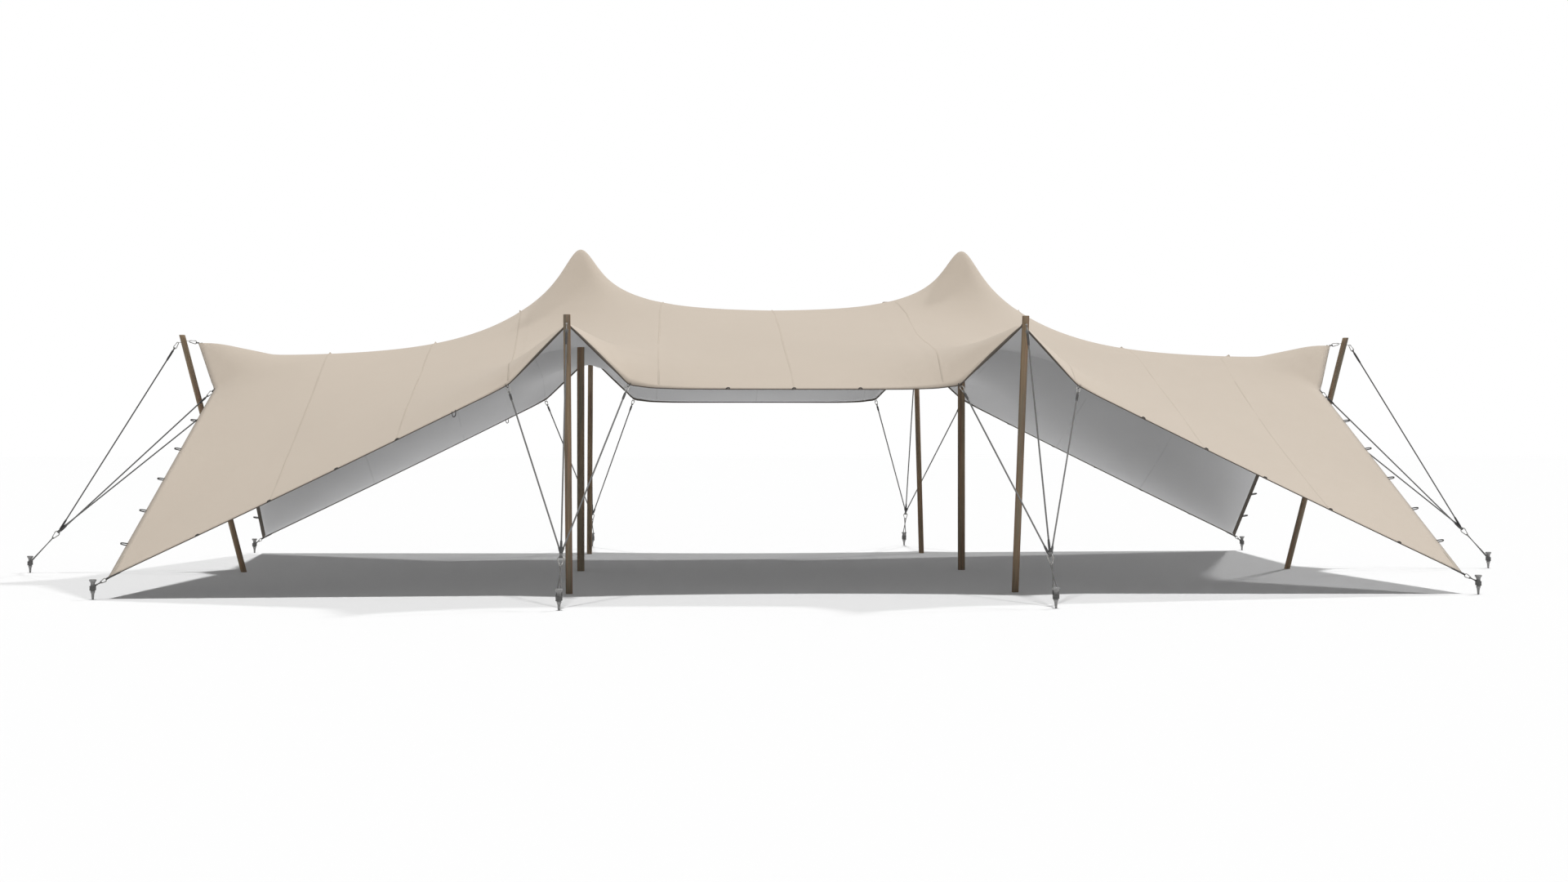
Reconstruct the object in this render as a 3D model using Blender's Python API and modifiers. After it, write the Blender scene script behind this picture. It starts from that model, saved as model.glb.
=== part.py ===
"""Stretch tent, about 15 m by 10 m of stretched cloth, in metres with +Z up.

The long side lies along X. The origin is on the ground, in the middle of the tent. Two centre
poles push the cloth up into peaks, six leaning edge poles hold its hem high, and its four corners
come down to stakes. Each edge pole is held by three guys, which meet in a ring above a stake.
"""

import math

import bmesh
import bpy
import numpy as np
from mathutils import Matrix, Vector
from mathutils.bvhtree import BVHTree

# Places that shape the tent, for its quarter at +X +Y
PEAK_X = 2.354
PEAK_Z = 3.951
HEM_MIDDLE = (0.0, 4.45, 2.143)
HEM_BEND_INNER = (1.728, 4.64, 2.192)
SIDE_HEAD = (PEAK_X, 4.86, 2.806)
HEM_BEND_OUTER = (2.986, 4.60, 2.170)
HEM_BEND_REACH = 0.08
HEM_BOW = (2, 9)
HEM_SAG = 0.011
CORNER = (7.0, 4.86, 0.212)
END_TIE = (6.70, 0.615, 2.21)
END_HEAD = (7.0, 0.0, 2.795)

# Ridges that run from each peak to the poles: how far they fall and how quickly
TIP_ROUNDING = 0.25
TIP_FALL = 0.272
TIP_LENGTH = 0.095
FALL_TO_END = 1.322
FALL_TO_SIDE = 1.355
FALL_LENGTH_TO_EDGE = 0.826
FALL_BETWEEN_PEAKS = 0.752
FALL_LENGTH_BETWEEN = 0.507
LIFT_LENGTH_AT_END = 0.90
LIFT_LENGTH_AT_SIDE = 1.60
HEAD_LIFT_BOW = 1.5
FOLD_ROUNDING = 0.05

# The cloth: where its strips are sewn together, and how stiffly it bends
SEAMS = (-5.40, -4.13, -2.98, -1.40, 0.0, 1.56, 2.97, 4.35, 5.58)
LAST_STRIP = 5.60
CLOTH_THICKNESS = 0.006
BEND_LENGTH = 0.35
HEM_REACH = 4.6
GAP = 0.0003

# Grid lines of the quarter: distances from the middle along X and along Y
GRID_X = (0.0, 0.7, 1.45, 1.728, 2.0, 2.2, 2.3, PEAK_X, 2.408, 2.51, 2.7, 2.85, 2.986, 3.55, 4.25,
          4.9, 5.6, 6.1, 6.55, 7.0)
GRID_Y = (0.0, 0.055, 0.15, 0.32, 0.615, 1.2, 2.0, 2.9, 3.75, 4.45, 4.86)

# Poles
CENTRE_POLE_RADIUS = 0.046
EDGE_POLE_RADIUS = 0.038
SIDE_POLE_FOOT_Y = 4.33
SIDE_POLE_TOP_Y = 5.05
END_POLE_FOOT_X = 6.45
END_POLE_TOP_X = 7.195
EDGE_POLE_HEIGHT = 2.892
POLE_SIDES = 16

# Stakes: turned steel pegs, from the ground up
SIDE_STAKE = (2.370, 6.77)
END_STAKE_X = 9.015
CORNER_STAKE = (7.13, 4.96)
STAKE_SIDES = 12
STAKE_FOOT_RADIUS = 0.014
STAKE_NECK_RADIUS = 0.024
STAKE_NECK_Z = 0.075
STAKE_FLARE_Z = 0.165
STAKE_HEAD_RADIUS = 0.037
STAKE_HEAD_Z = 0.195
STAKE_TOP_Z = 0.205
STAKE_CHAMFER = 0.006

# Guys and their fittings
ROPE_RADIUS = 0.006
SLEEVE_RADIUS = 0.013
SLEEVE_LENGTH = 0.13
LINK_LENGTH = 0.11
LINK_WIDTH = 0.05
LINK_RADIUS = 0.005
RING_RADIUS = 0.030
RING_BAR_RADIUS = 0.008
RING_STEPS = 8
SIDE_RING = (2.362, 6.485, 0.498)
END_RING = (8.675, 0.0, 0.498)
GUY_POLE_Z = 2.80
WRAP_LOW_Z = 0.085
WRAP_HIGH_Z = 0.128
WRAP_THICKNESS = 0.007


def clear_scene():
    for old in list(bpy.data.objects):
        bpy.data.objects.remove(old, do_unlink=True)


def new_collection(name):
    collection = bpy.data.collections.new(name)
    bpy.context.scene.collection.children.link(collection)
    return collection


def plain_material(name, colour, roughness, metallic):
    material = bpy.data.materials.new(name)
    material.use_nodes = True
    shader = material.node_tree.nodes["Principled BSDF"]
    shader.inputs["Base Color"].default_value = (*colour, 1.0)
    shader.inputs["Roughness"].default_value = roughness
    shader.inputs["Metallic"].default_value = metallic
    return material


def add_object(name, mesh, collection, material):
    piece = bpy.data.objects.new(name, mesh)
    piece.data.materials.clear()
    piece.data.materials.append(material)
    collection.objects.link(piece)
    return piece


# The cloth's shape

def side_hem(x):
    """The distance from the middle and the height of the long hem, at each x of the quarter."""
    knots = np.array((HEM_MIDDLE, HEM_BEND_INNER, SIDE_HEAD, HEM_BEND_OUTER, CORNER))
    along = np.interp(x, knots[:, 0], range(len(knots)))
    first = np.clip(along.astype(int), 0, len(knots) - 2)
    share = (along - first)[:, None]
    share = np.where(first[:, None] == 0, share ** HEM_BOW, share)
    hem = knots[first, 1:] + share * (knots[first + 1, 1:] - knots[first, 1:])
    slopes = np.diff(knots[:, 1:], axis=0) / np.diff(knots[:, 0])[:, None]
    into = np.maximum(HEM_BEND_REACH - abs(x - HEM_BEND_OUTER[0]), 0.0)
    hem += (slopes[3] - slopes[2]) * (into ** 2 / (4 * HEM_BEND_REACH))[:, None]
    hem[:, 1] -= np.where(first == 3, 4 * HEM_SAG * (share * (1.0 - share))[:, 0], 0.0)
    return hem[:, 0], hem[:, 1]


def side_ties():
    """The places on the long hem that the two outer guys of a side pole hold."""
    x = np.array((HEM_BEND_INNER[0], HEM_BEND_OUTER[0]))
    return [tuple(map(float, place)) for place in zip(x, *side_hem(x))]


def end_hem(y):
    """How far out and how high the short hem lies, at each y of the quarter."""
    knots = np.array((END_HEAD, END_TIE, CORNER))
    return np.interp(y, knots[:, 1], knots[:, 0]), np.interp(y, knots[:, 1], knots[:, 2])


def below_peak(distance, fall, length):
    """How far a ridge lies below its peak: it falls fast at the tip and slower after it."""
    rounded = np.hypot(distance, TIP_ROUNDING) - TIP_ROUNDING
    tip = TIP_FALL * (1.0 - np.exp(-rounded / TIP_LENGTH))
    return tip + (fall - TIP_FALL) * (1.0 - np.exp(-rounded / length))


def ridge_to_pole(distance, fall, head, lift_length):
    """The height of a ridge that falls from a peak and rises again to an edge pole's head.

    The head is given as its distance from the peak and its height.
    """
    past_fold = distance - (head[0] - lift_length)
    share = (past_fold + np.hypot(past_fold, FOLD_ROUNDING)) / (2 * lift_length)
    rise = 1.0 - np.maximum(1.0 - share, 0.0) ** HEAD_LIFT_BOW
    height = PEAK_Z - below_peak(distance, fall, FALL_LENGTH_TO_EDGE)
    return height + (head[1] - (PEAK_Z - fall)) * rise


def ridge_between_peaks(distance):
    return PEAK_Z - below_peak(distance, FALL_BETWEEN_PEAKS, FALL_LENGTH_BETWEEN)


def plan_grid(columns, rows):
    """Where the quarter's grid points lie, seen from above."""
    out, _ = end_hem(rows)
    reach, _ = side_hem(np.append(columns[:-1], CORNER[0]))
    last_strip = np.clip((columns - LAST_STRIP) / (END_HEAD[0] - LAST_STRIP), 0.0, 1.0)[:, None]
    x = columns[:, None] + last_strip * (out - END_HEAD[0])[None, :]
    share = (rows / rows[-1])[None, :]
    y = share * (HEM_REACH + (reach - HEM_REACH)[:, None] * share ** 3)
    y = y + last_strip ** 2 * (rows[None, :] - y)
    y[:, -1] = reach
    return x, y


def fixed_heights(x, y, columns, rows):
    """The heights that the hem, the ridges and the peak set, and NaN where the cloth is free."""
    z = np.full(x.shape, np.nan)
    peak = int(np.argmin(abs(columns - PEAK_X)))
    end_head = (END_HEAD[0] - PEAK_X, END_HEAD[2])
    z[:peak + 1, 0] = ridge_between_peaks(PEAK_X - x[:peak + 1, 0])
    z[peak:, 0] = ridge_to_pole(x[peak:, 0] - PEAK_X, FALL_TO_END, end_head, LIFT_LENGTH_AT_END)
    z[peak, :] = ridge_to_pole(y[peak, :], FALL_TO_SIDE, SIDE_HEAD[1:], LIFT_LENGTH_AT_SIDE)
    z[:, -1] = side_hem(np.append(columns[:-1], CORNER[0]))[1]
    z[-1, :] = end_hem(rows)[1]
    return z


def cell_widths(values, axis):
    """Half of the spacing to each neighbour along an axis, summed for each grid point."""
    step = np.diff(values, axis=axis) / 2.0
    before = [(0, 0), (0, 0)]
    after = [(0, 0), (0, 0)]
    before[axis] = (1, 0)
    after[axis] = (0, 1)
    return np.pad(step, before) + np.pad(step, after)


def pull_matrix(x, y):
    """What each grid point is pulled by its neighbours, as the cloth's tension makes it."""
    size = x.size
    index = np.arange(size).reshape(x.shape)
    widths = (cell_widths(x, 0), cell_widths(y, 1))
    matrix = np.zeros((size, size))
    for axis in (0, 1):
        length = np.hypot(np.diff(x, axis=axis), np.diff(y, axis=axis))
        across = widths[1 - axis]
        width = (across[:-1] + across[1:]) / 2 if axis == 0 else (across[:, :-1] + across[:, 1:]) / 2
        pull = (width / length).ravel()
        first = (index[:-1] if axis == 0 else index[:, :-1]).ravel()
        second = (index[1:] if axis == 0 else index[:, 1:]).ravel()
        np.add.at(matrix, (first, first), pull)
        np.add.at(matrix, (second, second), pull)
        np.add.at(matrix, (first, second), -pull)
        np.add.at(matrix, (second, first), -pull)
    return matrix, (widths[0] * widths[1]).ravel()


def relaxed_heights(x, y, z):
    """Lets the free points settle under tension and a little bending stiffness."""
    pull, area = pull_matrix(x, y)
    inside = np.ones(x.shape, bool)
    inside[-1, :] = False
    inside[:, -1] = False
    softness = np.where(inside.ravel(), 1.0 / np.maximum(area, 1e-9), 0.0)
    stiffness = pull + BEND_LENGTH ** 2 * pull @ (softness[:, None] * pull)
    flat = z.ravel().copy()
    free = np.isnan(flat)
    held = ~free
    load = -stiffness[np.ix_(free, held)] @ flat[held]
    flat[free] = np.linalg.solve(stiffness[np.ix_(free, free)], load)
    return flat.reshape(z.shape)


def whole_grid():
    """The grid of the whole canopy, mirrored from its quarter: x, y and z by column and row."""
    columns = np.array(GRID_X)
    rows = np.array(GRID_Y)
    x, y = plan_grid(columns, rows)
    z = relaxed_heights(x, y, fixed_heights(x, y, columns, rows))
    x, y, z = (np.hstack((grid[:, :0:-1] * sign, grid)) for grid, sign in ((x, 1), (y, -1), (z, 1)))
    return (np.vstack((grid[:0:-1] * sign, grid)) for grid, sign in ((x, -1), (y, 1), (z, 1)))


def cloth_sheet():
    """The canopy's middle surface, as an open grid."""
    x, y, z = whole_grid()
    sheet = bmesh.new()
    points = [[sheet.verts.new(place) for place in zip(*column)] for column in zip(x, y, z)]
    for left, right in zip(points[:-1], points[1:]):
        for corners in zip(left[:-1], right[:-1], right[1:], left[1:]):
            sheet.faces.new(corners)
    mesh = bpy.data.meshes.new("cloth_sheet")
    sheet.to_mesh(mesh)
    sheet.free()
    return mesh


def evaluated_mesh(piece):
    graph = bpy.context.evaluated_depsgraph_get()
    return bpy.data.meshes.new_from_object(piece.evaluated_get(graph))


def cloth_shell(collection, material):
    """The whole canopy with its thickness, which the strips are cut from."""
    shell = add_object("cloth_shell", cloth_sheet(), collection, material)
    thicken = shell.modifiers.new("thickness", "SOLIDIFY")
    thicken.thickness = CLOTH_THICKNESS
    thicken.offset = 0.0
    thicken.use_even_offset = True
    mesh = evaluated_mesh(shell)
    bpy.data.objects.remove(shell, do_unlink=True)
    return mesh


def cut_at(cloth, x, side):
    """Cuts the cloth on the plane at x, keeps the part on the given side and closes it."""
    everything = cloth.verts[:] + cloth.edges[:] + cloth.faces[:]
    cut = bmesh.ops.bisect_plane(cloth, geom=everything, plane_co=(x, 0, 0), plane_no=(side, 0, 0),
                                 dist=1e-7, clear_inner=True)
    edges = [item for item in cut["geom_cut"] if isinstance(item, bmesh.types.BMEdge)]
    bmesh.ops.contextual_create(cloth, geom=edges)


def canopy_panels(shell, collection, material):
    """The strips of cloth between the seams, from the left end to the right."""
    lows = (None, *SEAMS)
    highs = (*SEAMS, None)
    for number, (low, high) in enumerate(zip(lows, highs), start=1):
        cloth = bmesh.new()
        cloth.from_mesh(shell)
        if low is not None:
            cut_at(cloth, low + GAP / 2, 1)
        if high is not None:
            cut_at(cloth, high - GAP / 2, -1)
        bmesh.ops.triangulate(cloth, faces=cloth.faces[:])
        bmesh.ops.recalc_face_normals(cloth, faces=cloth.faces[:])
        mesh = bpy.data.meshes.new(f"canopy_panel_{number:02d}")
        cloth.to_mesh(mesh)
        cloth.free()
        mesh.shade_smooth()
        add_object(mesh.name, mesh, collection, material)


# Poles and stakes

def round_post(name, foot, top, radius, collection, material):
    """A round pole from its foot to its top, whose ends are cut level however it leans."""
    foot = Vector(foot)
    rise = Vector(top) - foot
    post = bmesh.new()
    bmesh.ops.create_cone(post, cap_ends=True, segments=POLE_SIDES, radius1=radius, radius2=radius,
                          depth=rise.z, matrix=Matrix.Translation((0, 0, rise.z / 2)))
    for point in post.verts:
        point.co.x += rise.x * point.co.z / rise.z
        point.co.y += rise.y * point.co.z / rise.z
    mesh = bpy.data.meshes.new(name)
    post.to_mesh(mesh)
    post.free()
    mesh.shade_smooth()
    mesh.set_sharp_from_angle(angle=math.radians(40))
    pole = add_object(name, mesh, collection, material)
    pole.location = foot
    return pole


def highest_seat(tree, x, y, radius, low_z):
    """How high a flat pole top can rise at x, y before it is a gap away from the cloth."""
    turns = [2 * math.pi * side / POLE_SIDES for side in range(POLE_SIDES)]
    rim = [Vector((x + radius * math.cos(turn), y + radius * math.sin(turn), low_z)) for turn in turns]
    rise = 0.0
    for _ in range(60):
        nearest = min(tree.find_nearest(point + Vector((0, 0, rise)))[3] for point in rim)
        rise += nearest - GAP
    return low_z + rise


def centre_poles(tree, collection, material):
    for side, sign in (("left", -1), ("right", 1)):
        top = highest_seat(tree, sign * PEAK_X, 0.0, CENTRE_POLE_RADIUS, PEAK_Z - 0.2)
        round_post(f"centre_pole_{side}", (sign * PEAK_X, 0, 0), (sign * PEAK_X, 0, top),
                   CENTRE_POLE_RADIUS, collection, material)


def turned(name, profile, sides, collection, material):
    """A shape turned about the Z axis from a profile of (radius, height) points, top to bottom."""
    outline = bmesh.new()
    points = [outline.verts.new((radius, 0, height)) for radius, height in profile]
    for first, second in zip(points[:-1], points[1:]):
        outline.edges.new((first, second))
    if profile[0][0] > 0:
        outline.edges.new((points[-1], points[0]))
    mesh = bpy.data.meshes.new(name)
    outline.to_mesh(mesh)
    outline.free()
    piece = add_object(name, mesh, collection, material)
    screw = piece.modifiers.new("turning", "SCREW")
    screw.steps = sides
    screw.render_steps = sides
    screw.use_merge_vertices = True
    screw.merge_threshold = 0.00001
    return piece


def stake(name, x, y, collection, material):
    profile = (
        (0.0, STAKE_TOP_Z),
        (STAKE_HEAD_RADIUS - STAKE_CHAMFER, STAKE_TOP_Z),
        (STAKE_HEAD_RADIUS, STAKE_HEAD_Z),
        (STAKE_NECK_RADIUS, STAKE_FLARE_Z),
        (STAKE_NECK_RADIUS, STAKE_NECK_Z),
        (STAKE_FOOT_RADIUS, 0.0),
        (0.0, 0.0),
    )
    peg = turned(name, profile, STAKE_SIDES, collection, material)
    peg.location = (x, y, 0)


# Ropes and fittings

def closed_mesh(piece):
    """Turns a piece into a plain mesh object with its caps welded."""
    mesh = evaluated_mesh(piece)
    welded = bmesh.new()
    welded.from_mesh(mesh)
    bmesh.ops.remove_doubles(welded, verts=welded.verts[:], dist=0.00001)
    bmesh.ops.recalc_face_normals(welded, faces=welded.faces[:])
    welded.to_mesh(mesh)
    welded.free()
    plain = bpy.data.objects.new(piece.name + "_mesh", mesh)
    plain.matrix_world = piece.matrix_world.copy()
    for collection in piece.users_collection:
        collection.objects.link(plain)
    bpy.data.objects.remove(piece, do_unlink=True)
    return plain


def tube(points, radii, collection, closed=False, smoothness=1):
    """A round bar or rope through the points, with a radius at each, as a mesh object."""
    curve = bpy.data.curves.new("tube", "CURVE")
    curve.dimensions = "3D"
    curve.bevel_depth = 1.0
    curve.bevel_resolution = smoothness
    curve.use_fill_caps = True
    spline = curve.splines.new("POLY")
    spline.points.add(len(points) - 1)
    for target, place, radius in zip(spline.points, points, radii):
        target.co = (*place, 1.0)
        target.radius = radius
    spline.use_cyclic_u = closed
    piece = bpy.data.objects.new("tube", curve)
    collection.objects.link(piece)
    return closed_mesh(piece)


def oval_link(start, end, side, width, collection):
    """A flat oval steel link that lies from start to end, measured between its bars' middles."""
    start = Vector(start)
    end = Vector(end)
    half = (end - start) / 2
    middle = start + half
    across = Vector(side).cross(half).normalized() * width / 2
    turns = [2 * math.pi * step / RING_STEPS for step in range(RING_STEPS)]
    points = [middle + half * math.cos(turn) + across * math.sin(turn) for turn in turns]
    return tube(points, [LINK_RADIUS] * RING_STEPS, collection, closed=True, smoothness=0)


def steel_ring(centre, normal, collection):
    """The ring in which the guys meet."""
    facing = Vector(normal).to_track_quat("Z", "Y")
    across = facing @ Vector((RING_RADIUS, 0, 0))
    up = facing @ Vector((0, RING_RADIUS, 0))
    turns = [2 * math.pi * (step + 0.5) / RING_STEPS for step in range(RING_STEPS)]
    points = [Vector(centre) + across * math.cos(turn) + up * math.sin(turn) for turn in turns]
    return tube(points, [RING_BAR_RADIUS] * RING_STEPS, collection, closed=True, smoothness=0)


def stake_wrap(x, y, collection, material):
    """The band of rope that is wound round a stake's neck."""
    inner = STAKE_NECK_RADIUS + GAP * 1.5
    outer = inner + WRAP_THICKNESS
    profile = ((outer, WRAP_HIGH_Z), (outer, WRAP_LOW_Z), (inner, WRAP_LOW_Z), (inner, WRAP_HIGH_Z))
    band = turned("wrap", profile, STAKE_SIDES, collection, material)
    band.location = (x, y, 0)
    bpy.context.view_layer.update()
    return closed_mesh(band)


def fused(name, pieces, collection, material):
    """Joins overlapping pieces into one closed body."""
    body = pieces[0]
    for other in pieces[1:]:
        union = body.modifiers.new("union", "BOOLEAN")
        union.operation = "UNION"
        union.solver = "EXACT"
        union.object = other
        bpy.context.view_layer.update()
        mesh = evaluated_mesh(body)
        body.modifiers.clear()
        body.data = mesh
        bpy.data.objects.remove(other, do_unlink=True)
    mesh = body.data
    mesh.name = name
    mesh.transform(body.matrix_world)
    bpy.data.objects.remove(body, do_unlink=True)
    mesh.materials.clear()
    return add_object(name, mesh, collection, material)


def stand_off(tree, place, outward, clearance):
    """Moves a place outwards until it is the clearance away from the cloth."""
    outward = Vector(outward).normalized()
    place = Vector(place) + outward * clearance
    for _ in range(40):
        place += outward * (clearance - tree.find_nearest(place)[3])
    return place


def guy(start, ring, side, collection):
    """One guy's pieces: a link where it is tied, and the rope with a thicker sleeve at each end."""
    start = Vector(start)
    ring = Vector(ring)
    down = (ring - start).normalized()
    end = ring - down * RING_RADIUS
    link_end = start + down * (LINK_LENGTH - 2 * LINK_RADIUS)
    top_sleeve = link_end - down * LINK_RADIUS * 0.6
    low_sleeve = end - down * SLEEVE_LENGTH
    taper = down * SLEEVE_RADIUS
    points = (top_sleeve, top_sleeve + down * SLEEVE_LENGTH, top_sleeve + down * SLEEVE_LENGTH + taper,
              low_sleeve - taper, low_sleeve, end)
    radii = (SLEEVE_RADIUS, SLEEVE_RADIUS, ROPE_RADIUS, ROPE_RADIUS, SLEEVE_RADIUS, SLEEVE_RADIUS)
    return [
        oval_link(start, link_end, side, LINK_WIDTH, collection),
        tube(points, radii, collection),
    ]


def strap(top, x, y, collection, material):
    """The strap from a fitting down to a stake, and its winding round the stake's neck."""
    inward = Vector((top[0] - x, top[1] - y, 0)).normalized()
    middle_z = (WRAP_LOW_Z + WRAP_HIGH_Z) / 2
    bottom = Vector((x, y, middle_z)) + inward * (STAKE_NECK_RADIUS + WRAP_THICKNESS)
    return [tube((top, bottom), [ROPE_RADIUS] * 2, collection),
            stake_wrap(x, y, collection, material)]


def pole_face(foot, top, z, outward):
    """A point one link's bar away from a leaning pole's face, at a height on the given side."""
    foot = Vector(foot)
    top = Vector(top)
    outward = Vector(outward)
    axis = foot + (top - foot) * (z / top.z)
    lean = math.atan2((top - foot).to_2d().length, top.z)
    return axis + outward * (EDGE_POLE_RADIUS + (LINK_RADIUS + GAP) / math.cos(lean))


def edge_station(name, turn, foot, top, head, ties, ring, stake_place, tree, collection, materials):
    """One leaning edge pole with its stake, its three guys and the link that holds the hem."""
    outward = Vector(turn).normalized()
    round_post(f"{name[0]}_pole_{name[1]}", foot, top, EDGE_POLE_RADIUS, collection,
               materials["timber"])
    stake(f"stake_{name[0]}_{name[1]}", *stake_place, collection, materials["steel"])
    upright = Vector((0, 0, 1))
    starts = [pole_face(foot, top, GUY_POLE_Z, outward)]
    for tie in ties:
        down = (Vector(ring) - Vector(tie)).normalized()
        starts.append(stand_off(tree, tie, down, LINK_RADIUS + GAP))
    pieces = [steel_ring(ring, upright.cross(outward), collection)]
    for start in starts:
        pieces += guy(start, ring, outward, collection)
    low = Vector(ring) + (Vector((*stake_place, WRAP_HIGH_Z)) - Vector(ring)).normalized() * RING_RADIUS
    slope = (Vector((*stake_place, WRAP_HIGH_Z)) - low).normalized()
    link_end = low + slope * (LINK_LENGTH - 2 * LINK_RADIUS)
    pieces.append(oval_link(low, link_end, outward, LINK_WIDTH, collection))
    pieces += strap(link_end, *stake_place, collection, materials["rope"])
    fused(f"guys_{name[0]}_{name[1]}", pieces, collection, materials["rope"])
    hem_end = stand_off(tree, head, outward, LINK_RADIUS + GAP)
    pole_end = pole_face(foot, top, head[2], -outward)
    link = oval_link(hem_end, pole_end, upright, LINK_WIDTH * 0.8, collection)
    fused(f"head_tie_{name[0]}_{name[1]}", [link], collection, materials["bright_steel"])


def mirrored(place, x_sign, y_sign):
    return (place[0] * x_sign, place[1] * y_sign, *place[2:])


def side_stations(tree, collection, materials):
    for row, y_sign in (("front", -1), ("back", 1)):
        for side, x_sign in (("left", -1), ("right", 1)):
            x = x_sign * PEAK_X
            edge_station(
                (row, side), (0, y_sign, 0),
                (x, y_sign * SIDE_POLE_FOOT_Y, 0),
                (x, y_sign * SIDE_POLE_TOP_Y, EDGE_POLE_HEIGHT),
                mirrored(SIDE_HEAD, x_sign, y_sign),
                [mirrored(tie, x_sign, y_sign) for tie in side_ties()],
                mirrored(SIDE_RING, x_sign, y_sign),
                mirrored(SIDE_STAKE, x_sign, y_sign), tree, collection, materials)


def end_stations(tree, collection, materials):
    for side, x_sign in (("left", -1), ("right", 1)):
        edge_station(
            ("end", side), (x_sign, 0, 0),
            (x_sign * END_POLE_FOOT_X, 0, 0),
            (x_sign * END_POLE_TOP_X, 0, EDGE_POLE_HEIGHT),
            mirrored(END_HEAD, x_sign, 1),
            [mirrored(END_TIE, x_sign, y_sign) for y_sign in (-1, 1)],
            mirrored(END_RING, x_sign, 1),
            (x_sign * END_STAKE_X, 0.0), tree, collection, materials)


def corner_ties(tree, collection, materials):
    """The stakes at the corners, and the link and rope that hold each corner down to its stake."""
    for row, y_sign in (("front", -1), ("back", 1)):
        for side, x_sign in (("left", -1), ("right", 1)):
            place = mirrored(CORNER_STAKE, x_sign, y_sign)
            stake(f"stake_{row}_{side}_corner", *place, collection, materials["steel"])
            corner = Vector(mirrored(CORNER, x_sign, y_sign))
            outward = (Vector((*place, WRAP_HIGH_Z)) - corner).normalized()
            start = stand_off(tree, corner, outward, LINK_RADIUS + GAP)
            link_end = start + outward * LINK_LENGTH * 0.6
            pieces = [oval_link(start, link_end, (0, 0, 1), LINK_WIDTH * 0.8, collection)]
            pieces += strap(link_end, *place, collection, materials["rope"])
            fused(f"corner_tie_{row}_{side}", pieces, collection, materials["rope"])


def build():
    clear_scene()
    tent = new_collection("stretch_tent")
    materials = {
        "cloth": plain_material("stretch_cloth", (0.62, 0.54, 0.43), 0.85, 0.0),
        "timber": plain_material("pole_timber", (0.16, 0.10, 0.06), 0.7, 0.0),
        "steel": plain_material("stake_steel", (0.17, 0.17, 0.17), 0.5, 0.9),
        "bright_steel": plain_material("link_steel", (0.5, 0.5, 0.5), 0.35, 1.0),
        "rope": plain_material("guy_rope", (0.07, 0.07, 0.07), 0.8, 0.0),
    }
    shell = cloth_shell(tent, materials["cloth"])
    points = [vertex.co for vertex in shell.vertices]
    tree = BVHTree.FromPolygons(points, [face.vertices for face in shell.polygons])
    canopy_panels(shell, tent, materials["cloth"])
    bpy.data.meshes.remove(shell)
    centre_poles(tree, tent, materials["timber"])
    side_stations(tree, tent, materials)
    end_stations(tree, tent, materials)
    corner_ties(tree, tent, materials)


build()
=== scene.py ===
"""The looks of the stretch tent: stretched sand cloth with a grey lining, timber poles, guy ropes,
webbing, steel snap hooks and stakes.

Everything is in metres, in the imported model's frame: the tent's long side lies along X, its front
faces -Y, and the origin is on the ground in its middle.
"""

import itertools
import math

import bmesh
import bpy
import numpy as np
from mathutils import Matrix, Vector, noise


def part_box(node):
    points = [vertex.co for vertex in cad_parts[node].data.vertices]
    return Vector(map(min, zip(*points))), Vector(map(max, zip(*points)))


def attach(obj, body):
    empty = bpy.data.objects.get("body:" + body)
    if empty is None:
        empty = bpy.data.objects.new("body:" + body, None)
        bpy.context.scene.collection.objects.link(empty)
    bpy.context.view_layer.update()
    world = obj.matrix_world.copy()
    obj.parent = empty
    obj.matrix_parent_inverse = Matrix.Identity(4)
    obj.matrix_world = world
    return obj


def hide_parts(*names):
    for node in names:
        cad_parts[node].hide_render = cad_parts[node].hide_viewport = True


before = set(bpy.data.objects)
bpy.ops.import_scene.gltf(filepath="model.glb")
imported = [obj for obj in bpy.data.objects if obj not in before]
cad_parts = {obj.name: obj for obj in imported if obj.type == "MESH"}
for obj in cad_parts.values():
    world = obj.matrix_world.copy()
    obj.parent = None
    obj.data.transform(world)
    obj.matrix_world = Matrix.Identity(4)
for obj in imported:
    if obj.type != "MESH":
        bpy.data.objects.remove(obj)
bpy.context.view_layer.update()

# The sides and rows that pieces are named for, with their signs along X and Y
SIDES = (("left", -1), ("right", 1))
ROWS = (("front", -1), ("back", 1))

# Places that shape the tent, for its quarter at +X +Y
PEAK_X = 2.354
PEAK_Z = 3.951
HEM_MIDDLE = (0.0, 4.45, 2.143)
HEM_BEND_INNER = (1.728, 4.64, 2.192)
SIDE_HEAD = (PEAK_X, 4.86, 2.806)
HEM_BEND_OUTER = (2.986, 4.60, 2.170)
HEM_BEND_REACH = 0.08
HEM_BOW = (2, 9)
HEM_SAG = 0.011
CORNER = (7.0, 4.86, 0.212)
END_TIE = (6.70, 0.615, 2.21)
END_HEAD = (7.0, 0.0, 2.795)

# Ridges that run from each peak to the poles: how far they fall and how quickly
TIP_ROUNDING = 0.25
TIP_FALL = 0.272
TIP_LENGTH = 0.095
FALL_TO_END = 1.322
FALL_TO_SIDE = 1.355
FALL_LENGTH_TO_EDGE = 0.826
FALL_BETWEEN_PEAKS = 0.752
FALL_LENGTH_BETWEEN = 0.507
LIFT_LENGTH_AT_END = 0.90
LIFT_LENGTH_AT_SIDE = 1.60
HEAD_LIFT_BOW = 1.5
FOLD_ROUNDING = 0.05

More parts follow.
